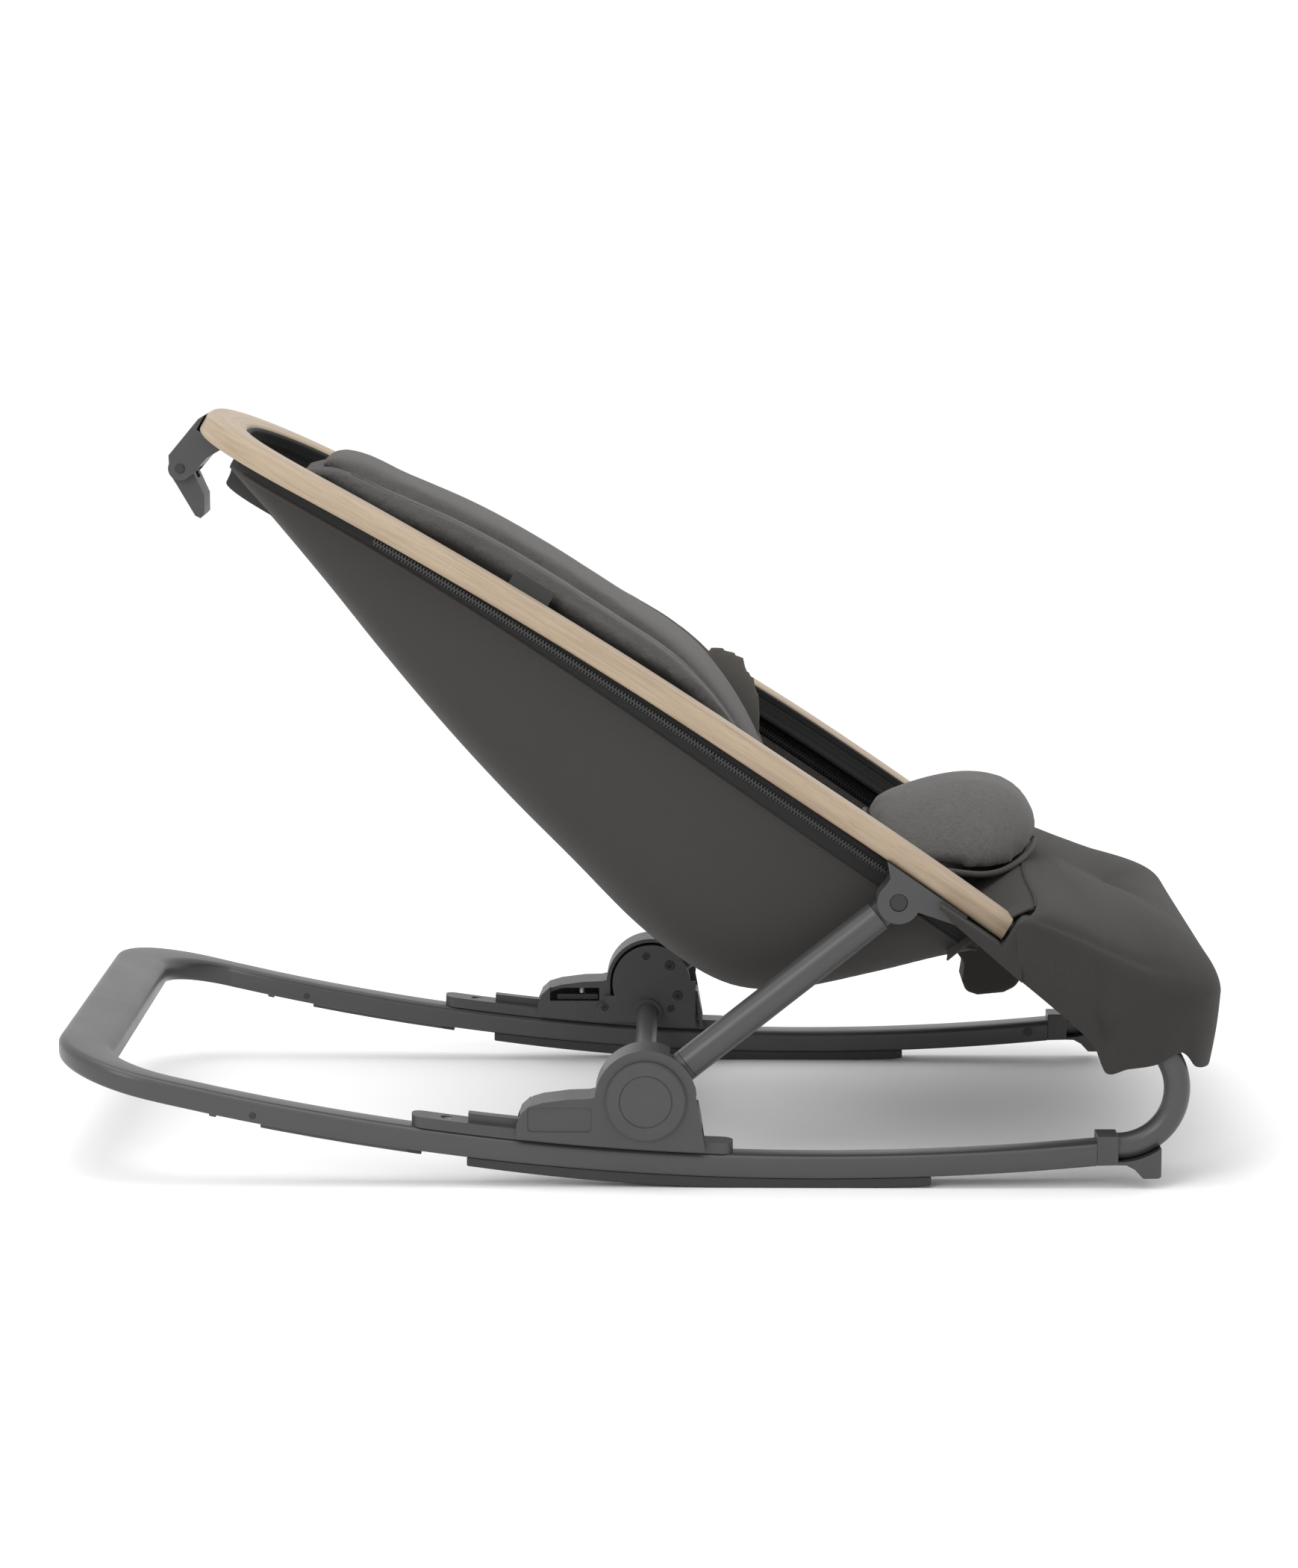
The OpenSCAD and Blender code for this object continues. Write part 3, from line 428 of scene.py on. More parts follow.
def hard(node, width=0.8, segments=3, angle=35, material=None):
    """A hard CAD node carried over with its edges broken as moulded or turned parts have them."""
    bm = bmesh.new()
    bm.from_mesh(frame["nodes"][node].data)
    for layer in list(bm.loops.layers.float_vector.values()):
        bm.loops.layers.float_vector.remove(layer)
    bmesh.ops.remove_doubles(bm, verts=bm.verts, dist=2e-5)
    bmesh.ops.dissolve_limit(bm, angle_limit=math.radians(0.4), verts=bm.verts, edges=bm.edges)
    obj = finish_mesh(node + "_finished", bm, material or PAINT[SLOTS[node]], angle,
                      BODY[node], SLOTS[node], [node])
    if "custom_normal" in obj.data.attributes:
        obj.data.attributes.remove(obj.data.attributes["custom_normal"])
    if width:
        modifier(obj, "BEVEL", width=width * MM, segments=segments, limit_method="ANGLE",
                 angle_limit=math.radians(angle), harden_normals=True,
                 use_clamp_overlap=True)
    return obj


def tube(name, points, radius, material, body, closed=False, resolution=6):
    """A round bar, wire or piping along points in mm."""
    cu = bpy.data.curves.new(name, "CURVE")
    cu.dimensions = "3D"
    cu.bevel_depth = radius * MM
    cu.bevel_resolution = resolution
    cu.use_fill_caps = True
    sp = cu.splines.new("POLY")
    sp.points.add(len(points) - 1)
    for p, q in zip(sp.points, points):
        p.co = (*(Vector(q) * MM), 1)
    sp.use_cyclic_u = closed
    obj = link(bpy.data.objects.new(name, cu))
    dg = bpy.context.evaluated_depsgraph_get()
    me = bpy.data.meshes.new_from_object(obj.evaluated_get(dg))
    bpy.data.objects.remove(obj)
    me.materials.clear()
    me.materials.append(material)
    me.shade_smooth()
    obj = link(bpy.data.objects.new(name, me))
    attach(obj, body)
    return obj


def puff(obj, pressure=4.0, cap=6.0, voxel=5.0, frames=20):
    """Swells a closed form as sewn fabric over padding, by cloth simulation."""
    for o in bpy.context.selected_objects:
        o.select_set(False)
    bpy.context.view_layer.objects.active = obj
    obj.select_set(True)
    r = modifier(obj, "REMESH", mode="VOXEL", voxel_size=voxel * MM, use_smooth_shade=True)
    bpy.ops.object.modifier_apply(modifier=r.name)
    rest = [v.co.copy() for v in obj.data.vertices]
    c = obj.modifiers.new("cloth", "CLOTH")
    c.settings.use_pressure = True
    c.settings.uniform_pressure_force = pressure
    c.settings.effector_weights.gravity = 0
    c.settings.tension_stiffness = 12
    c.settings.bending_stiffness = 0.6
    c.point_cache.frame_start, c.point_cache.frame_end = 1, frames
    for f in range(1, frames + 1):
        bpy.context.scene.frame_set(f)
    e = obj.evaluated_get(bpy.context.evaluated_depsgraph_get())
    moved = [v.co.copy() for v in e.data.vertices]
    obj.modifiers.remove(c)
    bpy.context.scene.frame_set(1)
    for v, a, b in zip(obj.data.vertices, rest, moved):
        d = b - a
        v.co = a + d.normalized() * cap * MM * math.tanh(d.length / (cap * MM)) if d.length else a
    obj.data.shade_smooth()
    return obj


# ---- base: one loft for the two rails and the rear bar ----------------------
RAIL_OUT, RAIL_IN = 224.5, 200.5            # a rail's outer and inner side, in y
RAIL_WIDE = RAIL_OUT - RAIL_IN
RAIL_FRONT, SLOT_FRONT, SLOT_REAR = 332, -147, -302
SLOT_DEEP, SLOT_HALF = 11.5, 8.2            # the leg's slot under the rail
TURN_X, TURN_Y, OUTER_R, INNER_R = -337, -152.5, 72, 48
BAR_REAR, BAR_FRONT = -425, -385            # the rear bar's two sides, in x


def base_rows():
    """Cross sections from the near rail's front end, round the rear bar, to the far one's."""
    out = []

    def add(o, i, groove=0.0):
        out.append((Vector(o), Vector(i), groove))

    def rail(x, groove=0.0):
        add((x, -RAIL_OUT), (x, -RAIL_IN), groove)

    for k in range(33):
        rail(RAIL_FRONT - k * (RAIL_FRONT - SLOT_FRONT) / 32)
    rail(SLOT_FRONT, SLOT_DEEP)
    for k in range(1, 9):
        rail(SLOT_FRONT - k * (SLOT_FRONT - SLOT_REAR) / 8, SLOT_DEEP)
    rail(SLOT_REAR)
    rail(TURN_X)
    for k in range(0, 19):
        a = math.radians(-90 - 90 * k / 18)
        add((BAR_REAR + OUTER_R * (1 + math.cos(a)), TURN_Y + OUTER_R * math.sin(a)),
            (TURN_X + INNER_R * math.cos(a), TURN_Y + INNER_R * math.sin(a)))
    half = out[:]
    for k in range(1, 8):
        y = TURN_Y * (1 - k / 4)
        add((BAR_REAR, y), (BAR_FRONT, y))
    for o, i, g in reversed(half):
        add((o.x, -o.y), (i.x, -i.y), g)
    rows = []
    for o, i, g in out:
        w = (i - o).length
        a = (i - o) / w
        wide = (w - RAIL_WIDE) / (BAR_FRONT - BAR_REAR - RAIL_WIDE)
        top, low = 5.0 + 2 * wide, 2.2 + 1.8 * wide
        row = []

        def put(across, lift, base):
            q = o + a * across
            z = rail_bottom(q.x) + lift if base else rail_top(q.x) - lift
            row.append((q.x, q.y, z))
        for k in range(4):
            t = math.radians(30 * k)
            put(low * (1 - math.cos(t)), low * (1 - math.sin(t)), True)
        for across, lift in ((-SLOT_HALF, 0), (-SLOT_HALF, g), (SLOT_HALF, g), (SLOT_HALF, 0)):
            put(w / 2 + across, lift, True)
        for k in range(4):
            t = math.radians(30 * k)
            put(w - low * (1 - math.sin(t)), low * (1 - math.cos(t)), True)
        for k in range(6):
            t = math.radians(18 * k)
            put(w - top * (1 - math.cos(t)), top * (1 - math.sin(t)), False)
        for k in range(6):
            t = math.radians(18 * k)
            put(top * (1 - math.sin(t)), top * (1 - math.cos(t)), False)
        rows.append(row)
    return rows


surface("base_rails", base_rows(), TUBE, closed=True, capped=True, sharp=50, body="base",
        slot="grey_frame", replaces=["base_frame"])

# ---- hard parts carried over with broken edges ------------------------------
def pair(*names):
    return [name + side for name in names for side in ("_right", "_left")]


# edge width in mm, steps across it, the sharpest edge left alone, and the nodes
for width, steps, angle, nodes in (
        (2.2, 4, 35, pair("connector")),
        (0.6, 2, 35, pair("front_arm") + ["front_cross_tube", "crossbar"] + pair("strut_tube")
         + ["seat_front_tube"]),
        (1.0, 3, 35, pair("rocker_pad")),
        (1.2, 3, 35, pair("track")),
        (1.5, 4, 40, pair("housing")),
        (0.8, 3, 35, pair("inner_cover")),
        (0.7, 3, 35, pair("hub_cap")),
        (0.9, 3, 35, pair("strut_foot", "strut_head", "seat_hinge", "leg")),
        (1.4, 3, 35, pair("seat_bracket")),
        (1.2, 3, 35, ["head_bracket", "fold_clip"]),
        (0.4, 2, 35, pair("leg_tip") + ["leg_stops"] + pair("trigger")
         + ["hub_pins", "bracket_pins", "clip_pin"]),
        (0.2, 2, 35, ["track_screws", "connector_screws", "leg_bolts", "cover_screws",
                      "cover_bolts"])):
    for node in nodes:
        hard(node, width, steps, angle)

# ---- wood -------------------------------------------------------------------
def outline():
    """The wood's plan from the near front end round the head, as functions of the inset."""
    lines = []
    for k in range(15):
        s = WOOD_S1 + (BEND_END - WOOD_S1) * k / 14
        lines.append(lambda d, s=s: (s, -(HALF - d)))
    for k in range(1, 13):
        f = FLARE * k / 12
        lines.append(lambda d, f=f: (BEND_END - (BEND_R - d) * math.sin(f),
                                     -(HALF - BEND_R) - (BEND_R - d) * math.cos(f)))
    first = lines[-1]
    start = math.asin(FLARE_AT ** (ARCH_POW / 2))

    def arch(f):
        x, y = math.sin(f) ** (2 / ARCH_POW), math.cos(f)
        y = math.copysign(abs(y) ** (2 / ARCH_POW), y)
        return lambda d: (HEAD_S - (ARCH_L - d) * x, -(ARCH_W - d) * y)
    head = [arch(start + (math.pi - 2 * start) * k / 72) for k in range(73)]
    for k in range(1, 26):
        t = k / 26
        lines.append(lambda d, t=t: (lerp(first(d)[0], head[0](d)[0], t),
                                     lerp(first(d)[1], head[0](d)[1], t)))
    near = lines[:]
    lines += head
    for line in reversed(near):
        lines.append(lambda d, line=line: (line(d)[0], -line(d)[1]))
    return lines


def wood_rows():
    rows = []
    for line in outline():
        row = []
        for corner in range(4):
            r = (3.5, 3.5, 4.5, 4.5)[corner]
            for k in range(5):
                t = math.radians(22.5 * k)
                c, q = r * (1 - math.cos(t)), r * (1 - math.sin(t))
                d, lift, up = ((c, q, 0), (BOARD - q, c, 0), (BOARD - c, q, 1), (q, c, 1))[corner]
                s, y = line(d)
                n = wood_top(s) - lift if up else wood_bottom(s) + lift
                row.append(seat(s, y, n))
        rows.append(row)
    return rows


surface("wood_board", wood_rows(), OAK, closed=True, capped=True, sharp=60, body="seat",
        slot="oak", replaces=["wood_frame"])


def inner_band_rows():
    """The black band that laps the board's inner edge, in soft ridges like a covered zip."""
    rows = []
    steps = ((0.6, 2), (2.4, 4), (1.2, 7), (3.0, 10), (1.4, 13), (3.2, 16.5), (2.4, 21), (4.0, 26),
             (3.4, 31), (5.0, 37), (5.5, 44))
    for line in outline():
        s0 = line(BOARD)[0]
        low = smooth((-380 - s0) / 130)
        row = []
        for out, down in steps:
            s, y = line(BOARD + out)
            row.append(seat(s, y, wood_top(s0) - 2 - (down - 2) * (0.44 + 0.56 * low)))
        rows.append(row)
    return rows


inner_band = surface("inner_band", inner_band_rows(), BAND, sharp=0, body="seat",
                     slot="dark_fabric")
modifier(inner_band, "SOLIDIFY", thickness=1.2 * MM, offset=0.0)


# ---- hammock ----------------------------------------------------------------
def resample(points, marks):
    """Points along a polyline at the given distances from its start."""
    run = [0.0]
    for a, b in zip(points, points[1:]):
        run.append(run[-1] + (b - a).length)
    out, k = [], 0
    for m in marks(run[-1]):
        while k < len(run) - 2 and run[k + 1] < m:
            k += 1
        t = (m - run[k]) / max(run[k + 1] - run[k], 1e-9)
        out.append(points[k].lerp(points[k + 1], t))
    return out


def band(s):
    """Height of the black band under the wood: narrow at the head, wider to the front."""
    return 9 + 13 * smooth((s + 560) / 600)


BOWL = 0.45
BAND_COLS, LAST_COL = 4, 60                 # a row's columns: the band's, and the last one


def hammock_row(s, shrink=0.0, count=52, rim=24):
    w, d, top = wood_w(s, rim) - shrink, max(6.0, depth(s) - shrink), wood_bottom(s) - 1
    line = []
    for i in range(121):
        a = math.pi * i / 120
        c = math.cos(a)
        line.append(Vector((0, -w * math.copysign(abs(c) ** BOWL, c),
                            top - d * math.sin(a) ** BOWL)))

    def marks(total):
        b = min(band(s), total * 0.2)
        inner = total - 2 * b
        return ([b * k / 4 for k in range(4)]
                + [b + inner * k / count for k in range(count + 1)]
                + [total - b * k / 4 for k in (3, 2, 1, 0)])
    return [seat(s, p.y, p.z) for p in resample(line, marks)]


S0, S1 = -552.0, 96.0
ham = [hammock_row(S0 + (S1 - S0) * k / 96) for k in range(97)]
hammock = surface("hammock_cloth", ham, HAMMOCK, sharp=0, body="seat", slot="dark_fabric",
                  materials=[BAND],
                  paint=lambda i, j: 1 if j < BAND_COLS or j >= LAST_COL - BAND_COLS else 0)
modifier(hammock, "SOLIDIFY", thickness=2.0 * MM, offset=-1.0)
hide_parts("hammock_shell")

for side, cols in (("right", BAND_COLS), ("left", LAST_COL - BAND_COLS)):
    tube("hammock_piping_" + side, [row[cols] for row in ham[2:]], 1.5, HAMMOCK, "seat")


BOX_FACES = ((0, 1, 3, 2), (4, 6, 7, 5), (0, 4, 5, 1), (2, 3, 7, 6), (0, 2, 6, 4), (1, 5, 7, 3))
TOOTH = (0.75, 1.5, 0.7)
TOOTH_PITCH = 1.3
TOOTH_OFFSET = 0.9


def zip_rows(side, s0, s1, drop, out):
    """Two rows of small teeth along the black band, on its outer (+1) or inner (-1) face."""
    bm = bmesh.new()
    k, s = 0, s0
    while s < s1:
        a = hammock_row(s)
        lo, hi = (BAND_COLS, 0) if side < 0 else (LAST_COL - BAND_COLS, LAST_COL)
        p = a[hi].lerp(a[lo], drop)
        q = hammock_row(s + 1)[hi].lerp(hammock_row(s + 1)[lo], drop)
        along = (q - p).normalized()
        down = (a[lo] - a[hi]).normalized()
        face = along.cross(down).normalized()
        if face.y * side < 0:
            face = -face
        centre = p + face * out + down * (TOOTH_OFFSET if k % 2 else -TOOTH_OFFSET)
        vs = [bm.verts.new((centre + along * x * TOOTH[0] + down * y * TOOTH[1]
                            + face * z * TOOTH[2]) * MM)
              for x in (-1, 1) for y in (-1, 1) for z in (-1, 1)]
        for f in BOX_FACES:
            bm.faces.new([vs[i] for i in f])
        s += TOOTH_PITCH
        k += 1
    bmesh.ops.recalc_face_normals(bm, faces=bm.faces)
    return bm


for side, tag in ((-1, "right"), (1, "left")):
    finish_mesh("zip_outer_" + tag, zip_rows(side, -430, 60, 0.42, 0.9), BLACK, 30, "seat",
                "black_screws")
    finish_mesh("zip_inner_" + tag, zip_rows(side, -500, 60, 0.55, -3.4), BLACK, 30, "seat",
                "black_screws")

# inner lining: the seat's dark jersey, from the zips down
lining = surface("inner_lining", [hammock_row(-540 + 7 * k, 4.2)[3:-3] for k in range(91)],
                 LINER_LOW, sharp=0, body="seat", slot="grey_jersey")
modifier(lining, "SOLIDIFY", thickness=1.5 * MM, offset=-1.0)


# ---- seat liner -------------------------------------------------------------
def liner_rows(s0, s1, half, top, thick, steps=44, around=48, power=0.55):
    rows = []
    for i in range(steps + 1):
        u = i / steps
        s = lerp(s0, s1, u)
        fade = min(1.0, math.sin(math.pi * min(0.5, u * 5))) if u < 0.1 else 1.0
        fade *= math.sin(math.pi * min(0.5, (1 - u) * 6)) if u > 1 - 1 / 12 else 1.0
        fade = max(0.12, fade)
        row = []
        for k in range(around):
            a = 2 * math.pi * k / around
            c, q = math.cos(a), math.sin(a)
            y = half(s) * (0.72 + 0.28 * fade) * math.copysign(abs(c) ** power, c)
            t = thick(s) * fade
            row.append(seat(s, y, top(s, y) - t / 2 + t / 2 * math.copysign(abs(q) ** 0.8, q)))
        rows.append(row)
    return rows


# middle line of the liner's upper face: over the head, along the back, down to the hips
LINER_LINE = [(-508, 291), (-485, 309), (-438, 314), (-382, 320), (-328, 321), (-259, 318),
              (-189, 313), (-140, 296), (-90, 262), (-34, 200)]


def liner_top(s, y):
    return through(LINER_LINE, s) - 7 + 0.0006 * y * y


def pad_top(s, y):
    return through(LINER_LINE, s) + 1


seat_base = surface("liner_base", liner_rows(-508, -34, lambda s: wood_w(s, 42) * 0.96, liner_top,
                                             lambda s: 22), LINER, closed=True, capped=True,
                    sharp=0, body="seat", slot="grey_jersey")
puff(seat_base, 3.0, 4.0)
seat_core = surface("liner_core", liner_rows(-500, -36, lambda s: lerp(62, 96, (s + 500) / 440),
                                             pad_top, lambda s: 30), LINER, closed=True,
                    capped=True, sharp=0, body="seat", slot="grey_jersey")
puff(seat_core, 4.0, 6.0)
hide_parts("seat_liner")
for side, tag in ((-1, "right"), (1, "left")):
    seam = []
    for k in range(60):
        s = lerp(-470, -60, k / 59)
        y = 0.74 * wood_w(s, 42)
        seam.append(seat(s, side * y, liner_top(s, y) + 0.8))
    tube("liner_piping_" + tag, seam, 1.6, LINER_LOW, "seat", resolution=3)


# ---- crotch pad -------------------------------------------------------------
PAD_S, PAD_LONG, PAD_HALF, PAD_DROOP = -4, 119, 94, 54


def pad_reach(u):
    """The pad's half width at u, as a share of its widest."""
    return max(0.02, 1 - abs(2 * u - 1) ** 2.8) ** 0.45


def pad_middle(u, y):
    """Height of the pad's middle layer: it rises from the seat, and its sides droop."""
    return 275 + 61 * math.sin(math.radians(128 * u)) - PAD_DROOP * (y / 96) ** 2


def pad_rows(count=30, around=44):
    rows = []
    for i in range(count + 1):
        u = i / count
        r = pad_reach(u)
        row = []
        for k in range(around):
            a = 2 * math.pi * k / around
            c, q = math.cos(a), math.sin(a)
            y = PAD_HALF * r * math.copysign(abs(c) ** 0.7, c)
            row.append(seat(PAD_S + PAD_LONG * u, y, pad_middle(u, y)
                            + 12 * r ** 0.5 * math.copysign(abs(q) ** 0.7, q)))
        rows.append(row)
    return rows


crotch = surface("crotch_cushion", pad_rows(), PAD, closed=True, capped=True, sharp=0,
                 body="seat", slot="grey_jersey", replaces=["crotch_pad"])
puff(crotch, 4.0, 5.0)
edge = []
for k in range(81):
    u = 0.5 - 0.5 * math.cos(math.pi * k / 80)
    y = (PAD_HALF + 1.5) * pad_reach(u)
    edge.append(seat(PAD_S + (PAD_LONG + 0.8) * u, -y, pad_middle(u, y) - 1))
edge += [Vector((p.x, -p.y, p.z)) for p in edge[-2:0:-1]]
tube("crotch_piping", edge, 2.3, LINER_LOW, "seat", closed=True, resolution=4)


# ---- waist belt wing --------------------------------------------------------
# The leaf's rear and front edges, as (height, place along the seat)
WING_LOW, WING_HIGH = 252, 324.5
WING_BACK = [(252, -150), (280, -164), (305, -167), (318, -163), (325, -154)]
WING_FRONT = [(252, -92), (275, -97), (292, -106), (308, -120), (318, -136), (325, -150)]


def belt_rows():
    """A leaf standing up from the cushion: its two edges meet in a blunt point."""
    rows = []
    for i in range(29):
        n = lerp(WING_LOW, WING_HIGH, i / 28)
        back, front = through(WING_BACK, n), through(WING_FRONT, n)
        thick = 5.5 * max(0.15, 1 - (i / 28) ** 4)
        row = []
        for k in range(28):
            a = 2 * math.pi * k / 28
            c, q = math.cos(a), math.sin(a)
            s = (back + front) / 2 + (front - back) / 2 * math.copysign(abs(c) ** 0.75, c)
            row.append(seat(s, 98 + thick * math.copysign(abs(q) ** 0.8, q)
                            + 0.0022 * (n - WING_LOW) ** 2 - 0.10 * (s + 130), n))
        rows.append(row)
    return rows


belt = surface("belt_wing", belt_rows(), BELT, closed=True, capped=True, sharp=0, body="seat",
               slot="dark_fabric", replaces=["waist_belt"])
puff(belt, 2.0, 3.0, 4.0)

# ---- apron ------------------------------------------------------------------
# Height of the top's middle line, of the side crease, and the hem, all by x
TOP_LINE = [(296, 211), (320, 203), (345, 190), (370, 176), (395, 161), (418, 148)]
CREASE_LINE = [(272, 194), (282, 193), (315, 176), (348, 156), (377, 142), (425, 140)]
HEM_LINE = [(272, 155), (301, 131), (318, 116), (329, 104), (337, 85), (353, 88), (375, 92),
            (393, 100), (400, 96), (407, 88), (425, 84)]
CORNER_R, FRONT_X, SIDE_Y = 48, 424, 227
SIDE_END, CORNER_END = 0.5, 0.78            # where the side and the corner end, along the edge
REAR_X = 272
DOWN = 18                                   # steps from the hem up to the crease
DART_X = 338


def apron_edge(t):
    """Plan of the ridge: along the near side, round the corner, to the middle."""
    x1 = FRONT_X - CORNER_R
    if t < SIDE_END:
        return Vector((lerp(REAR_X, x1, t / SIDE_END), -SIDE_Y))
    if t < CORNER_END:
        a = math.radians(90 * (t - SIDE_END) / (CORNER_END - SIDE_END))
        return Vector((x1 + CORNER_R * math.sin(a), -SIDE_Y + CORNER_R * (1 - math.cos(a))))
    return Vector((FRONT_X, lerp(CORNER_R - SIDE_Y, 0, (t - CORNER_END) / (1 - CORNER_END))))


def apron_rows(count=96, down=DOWN, over=40):
    rows = []
    for i in range(count + 1):
        t = i / count
        e = apron_edge(t)
        front = smooth((t - 0.45) / 0.40)
        drape = 1.6 * math.sin(17 * t) * smooth(t * 4)
        hem = Vector((e.x - 9 * front, e.y + 3 * (1 - front), through(HEM_LINE, e.x)))
        crease = Vector((e.x, e.y, lerp(through(CREASE_LINE, e.x), 138, front)))
        spine_x = lerp(296, 356, smooth(t / 0.9))
        spine = Vector((spine_x, 0, through(TOP_LINE, spine_x)))
        row = []
        for k in range(down):
            u = k / down
            p = hem.lerp(crease, u)
            bow = 3.0 * math.sin(math.pi * u) + drape * (1 - u)
            p.y -= bow * (1 - front)
            p.x += bow * front * 0.4
            row.append(p)
        for k in range(over + 1):
            u = k / over
            f = math.radians(90 * (0.3 * u + 0.7 * u ** 1.4))
            soft = lerp(2.05, 1.8, front)
            out, up = math.cos(f) ** (2 / 2.3), math.sin(f) ** (2 / soft)
            p = Vector((spine.x + (e.x - spine.x) * out, spine.y + (e.y - spine.y) * out,
                        crease.z + (spine.z - crease.z) * up))
            # the stitched rear edge bulges forward round the crotch pad
            p.x += 13 * math.sin(math.pi * min(1.0, 1.1 * u)) ** 2 * (1 - smooth(t / 0.45))
            # a soft crease runs down from the end of the wood towards the corner
            at = 0.20 + 0.22 * t
            p.z -= 1.8 * math.exp(-((u - at) / 0.05) ** 2) * smooth(t * 9) * smooth((0.62 - t) * 6)
            row.append(p)
        # a dart pulls the cloth in just above the hem's low point
        pull = math.exp(-((e.x - DART_X) / 9) ** 2) * (1 - front)
        for k in range(down):
            u = k / down
            row[k].y += 4.5 * pull * math.exp(-((u - 0.42) / 0.10) ** 2)
        rows.append(row)
    far = [[Vector((p.x, -p.y, p.z)) for p in row] for row in rows[-2::-1]]
    return rows + far


apron_grid = apron_rows()
apron = surface("apron_cloth", apron_grid, APRON, sharp=0, body="seat", slot="dark_fabric",
                replaces=["front_apron"])
modifier(apron, "SOLIDIFY", thickness=1.6 * MM, offset=-1.0)
modifier(apron, "SUBSURF", levels=1, render_levels=1)


def lip_rows():
    """The strip that turns down from the apron's rear edge under the crotch pad."""
    near = apron_grid[0][DOWN:]
    edge = near + [Vector((p.x, -p.y, p.z)) for p in near[-2::-1]]
    edge = [p for p in edge if abs(p.y) < 200]
    down = Vector((-math.cos(SLOPE), 0, math.sin(SLOPE)))
    flat = Vector((math.sin(SLOPE), 0, math.cos(SLOPE)))
    steps = ((0, -1.5), (4, -5), (9, -12), (15, -22), (22, -35), (30, -50), (36, -66))
    return [[p + down * a + flat * b for p in edge] for a, b in steps]


lip = surface("apron_lip", lip_rows(), APRON, sharp=0, body="seat", slot="dark_fabric")
modifier(lip, "SOLIDIFY", thickness=1.4 * MM, offset=-1.0)


COLLAR_REAR, COLLAR_FRONT = 217, 276
BOARD_END = 261                             # x of the underside of the wood's front end


def collar_rows(side):
    """The apron's pointed rear corner: it turns in under the wood and laps the board's end."""
    rows = []
    for k in range(25):
        x = lerp(COLLAR_REAR, COLLAR_FRONT, k / 24)
        s = (x - 40 - 0.5 * 268) / math.cos(SLOPE)
        under = seat(s, 0, wood_bottom(min(s, WOOD_S1)) - 3).z
        rise = smooth((x - BOARD_END) / 11)
        if x > BOARD_END:
            under = lerp(seat(WOOD_S1, 0, wood_bottom(WOOD_S1) - 3).z, 193.5, rise)
        low = under - 2
        if x > 222:
            low = min(low, lerp(204, 152, (x - COLLAR_REAR) / (COLLAR_FRONT - COLLAR_REAR)))
        row = [Vector((x, side * (SIDE_Y - 1 + 0.8 * math.sin(math.pi * v / 8)),
                       lerp(low, under, v / 8))) for v in range(9)]
        back = 6 * rise
        row += [Vector((x + 1 + back, side * y, under - 1.0 + back * 0.5))
                for y in (223, 218, 210, 200, 186, 170)]
        rows.append(row)
    return rows


for side, tag in ((-1, "right"), (1, "left")):
    collar = surface("apron_collar_" + tag, collar_rows(side), APRON, sharp=0, body="seat",
                     slot="dark_fabric")
    modifier(collar, "SOLIDIFY", thickness=1.5 * MM, offset=0.0)

seam = [p + Vector((0, 0, 0.6)) for p in lip_rows()[0]]
tube("apron_seam", seam, 1.1, BAND, "seat", resolution=3)

hard("side_label", 0.5, 2)
hard("belt_anchor", 4.0, 4)


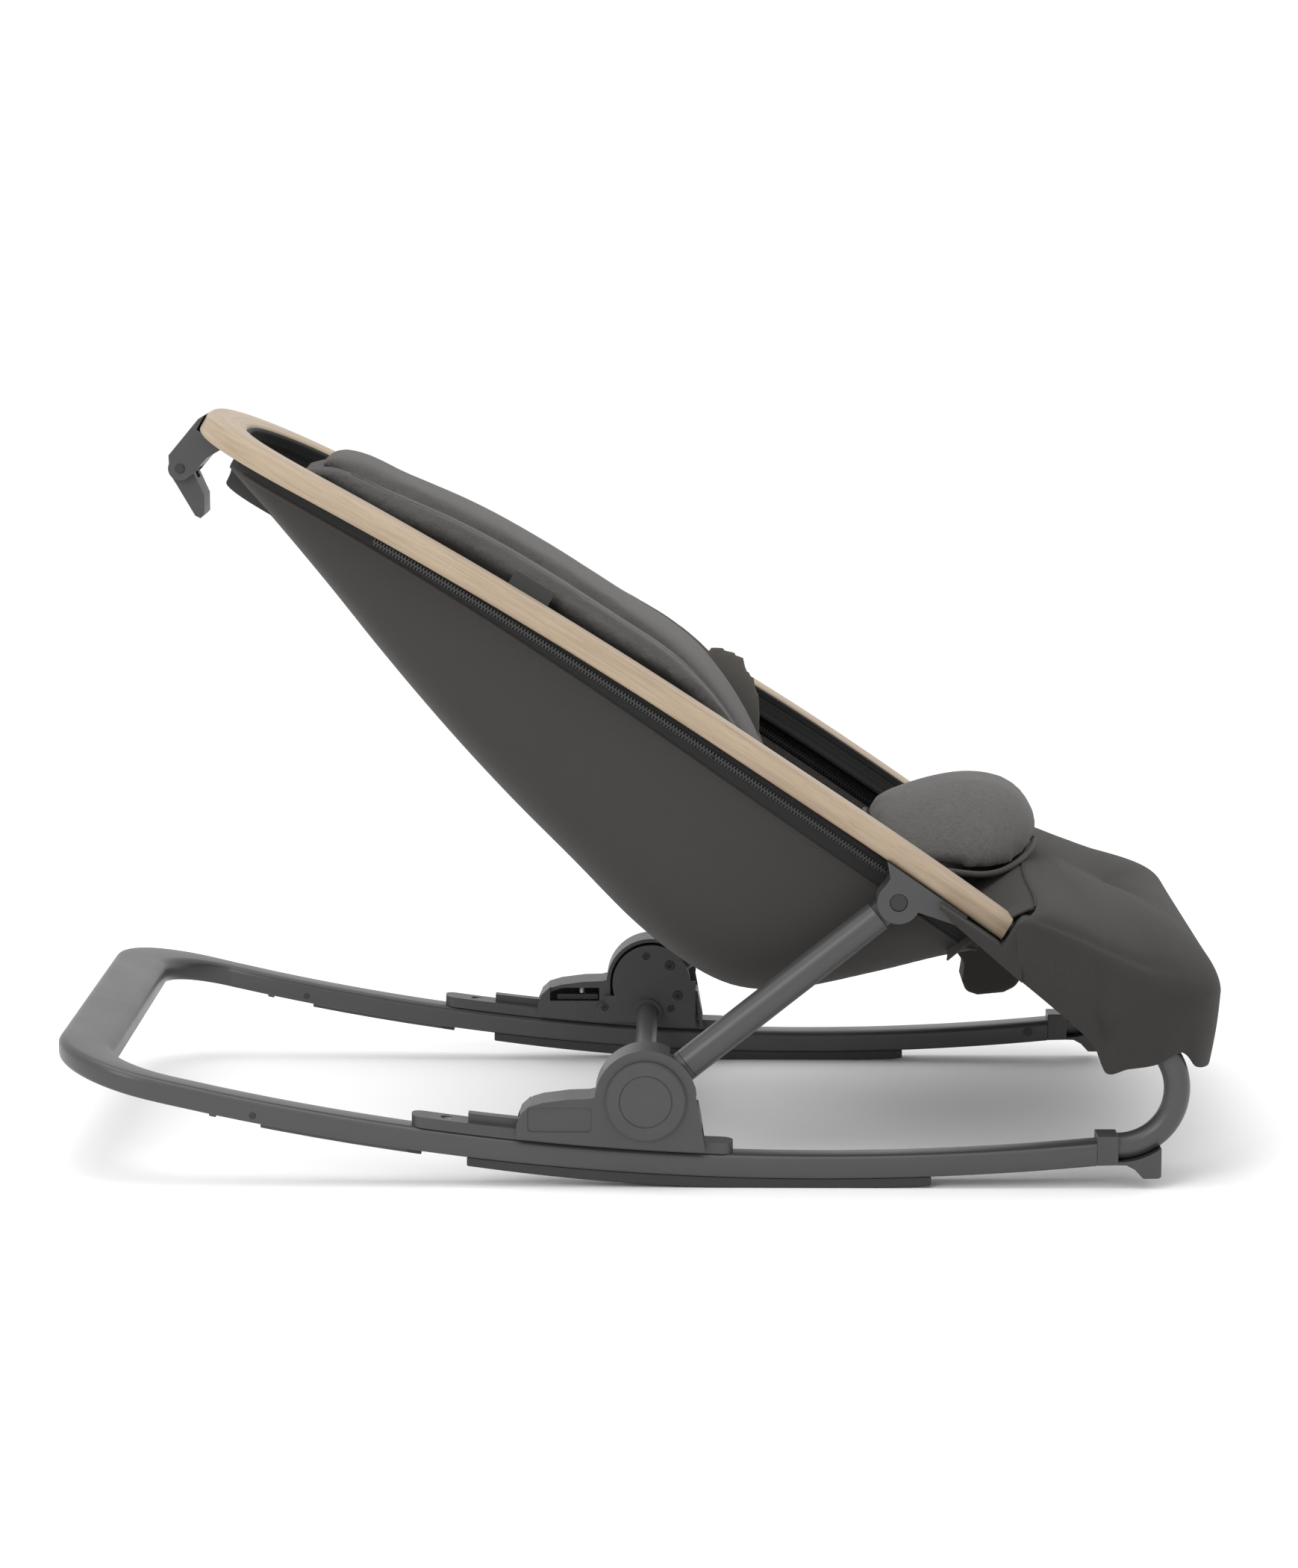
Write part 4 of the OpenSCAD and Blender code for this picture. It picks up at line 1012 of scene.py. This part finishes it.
def coil(node, wire=0.8, turns=7):
    """A wound spring in the place of the frame's sleeve, along the sleeve's own axis."""
    pts = [frame["nodes"][node].matrix_world @ v.co for v in frame["nodes"][node].data.vertices]
    lo = Vector([min(p[i] for p in pts) for i in range(3)]) / MM
    hi = Vector([max(p[i] for p in pts) for i in range(3)]) / MM
    size = hi - lo
    along = min(range(3), key=lambda i: abs(size[(i + 1) % 3] - size[(i + 2) % 3]))
    a, b = (along + 1) % 3, (along + 2) % 3
    radius = min(size[a], size[b]) / 2 - wire
    wound = []
    for k in range(turns * 20 + 1):
        w = 2 * math.pi * k / 20
        p = (lo + hi) / 2
        p[along] = lerp(lo[along] + wire, hi[along] - wire, k / (turns * 20))
        p[a] += radius * math.cos(w)
        p[b] += radius * math.sin(w)
        wound.append(p)
    piece = tube(node + "_coil", wound, wire, STEEL, BODY[node], resolution=3)
    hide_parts(node)


coil("clip_spring")
coil("trigger_spring_right", 0.6)
coil("trigger_spring_left", 0.6)


SOFT = ("hammock_cloth", "hammock_piping_right", "hammock_piping_left", "inner_lining",
        "zip_outer_right", "zip_outer_left", "zip_inner_right", "zip_inner_left", "liner_base",
        "liner_core", "liner_piping_right", "liner_piping_left", "belt_wing",
        "belt_anchor_finished")
for name in SOFT:
    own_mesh(bpy.data.objects[name])

# ---- stage ------------------------------------------------------------------
floor = bpy.data.meshes.new("floor")
bm = bmesh.new()
bmesh.ops.create_circle(bm, cap_ends=True, radius=80, segments=128)
bm.to_mesh(floor)
bm.free()
p = Paint("pale_floor", (0.96, 0.96, 0.96), 0.9)
p.color(p.ramp(p.noise(p.space(), 3, 2), [(0.3, 0.955), (0.7, 0.965)]))
floor.materials.append(p.m)
link(bpy.data.objects.new("floor", floor))

world = bpy.data.worlds.new("studio")
bpy.context.scene.world = world
world.use_nodes = True
world.node_tree.nodes["Background"].inputs["Color"].default_value = (1, 1, 1, 1)
world.node_tree.nodes["Background"].inputs["Strength"].default_value = 1.04


def area_light(name, at, aim, size, watts):
    light = bpy.data.lights.new(name, "AREA")
    light.shape = "SQUARE"
    light.size = size
    light.energy = watts
    obj = link(bpy.data.objects.new(name, light))
    obj.location = at
    obj.rotation_euler = (Vector(aim) - Vector(at)).to_track_quat("-Z", "Y").to_euler()
    return obj


area_light("top_light", (-0.4, -0.3, 2.4), (0, 0, 0.2), 2.0, 26)
area_light("front_light", (-1.6, -2.6, 1.8), (0, 0, 0.25), 1.4, 26)
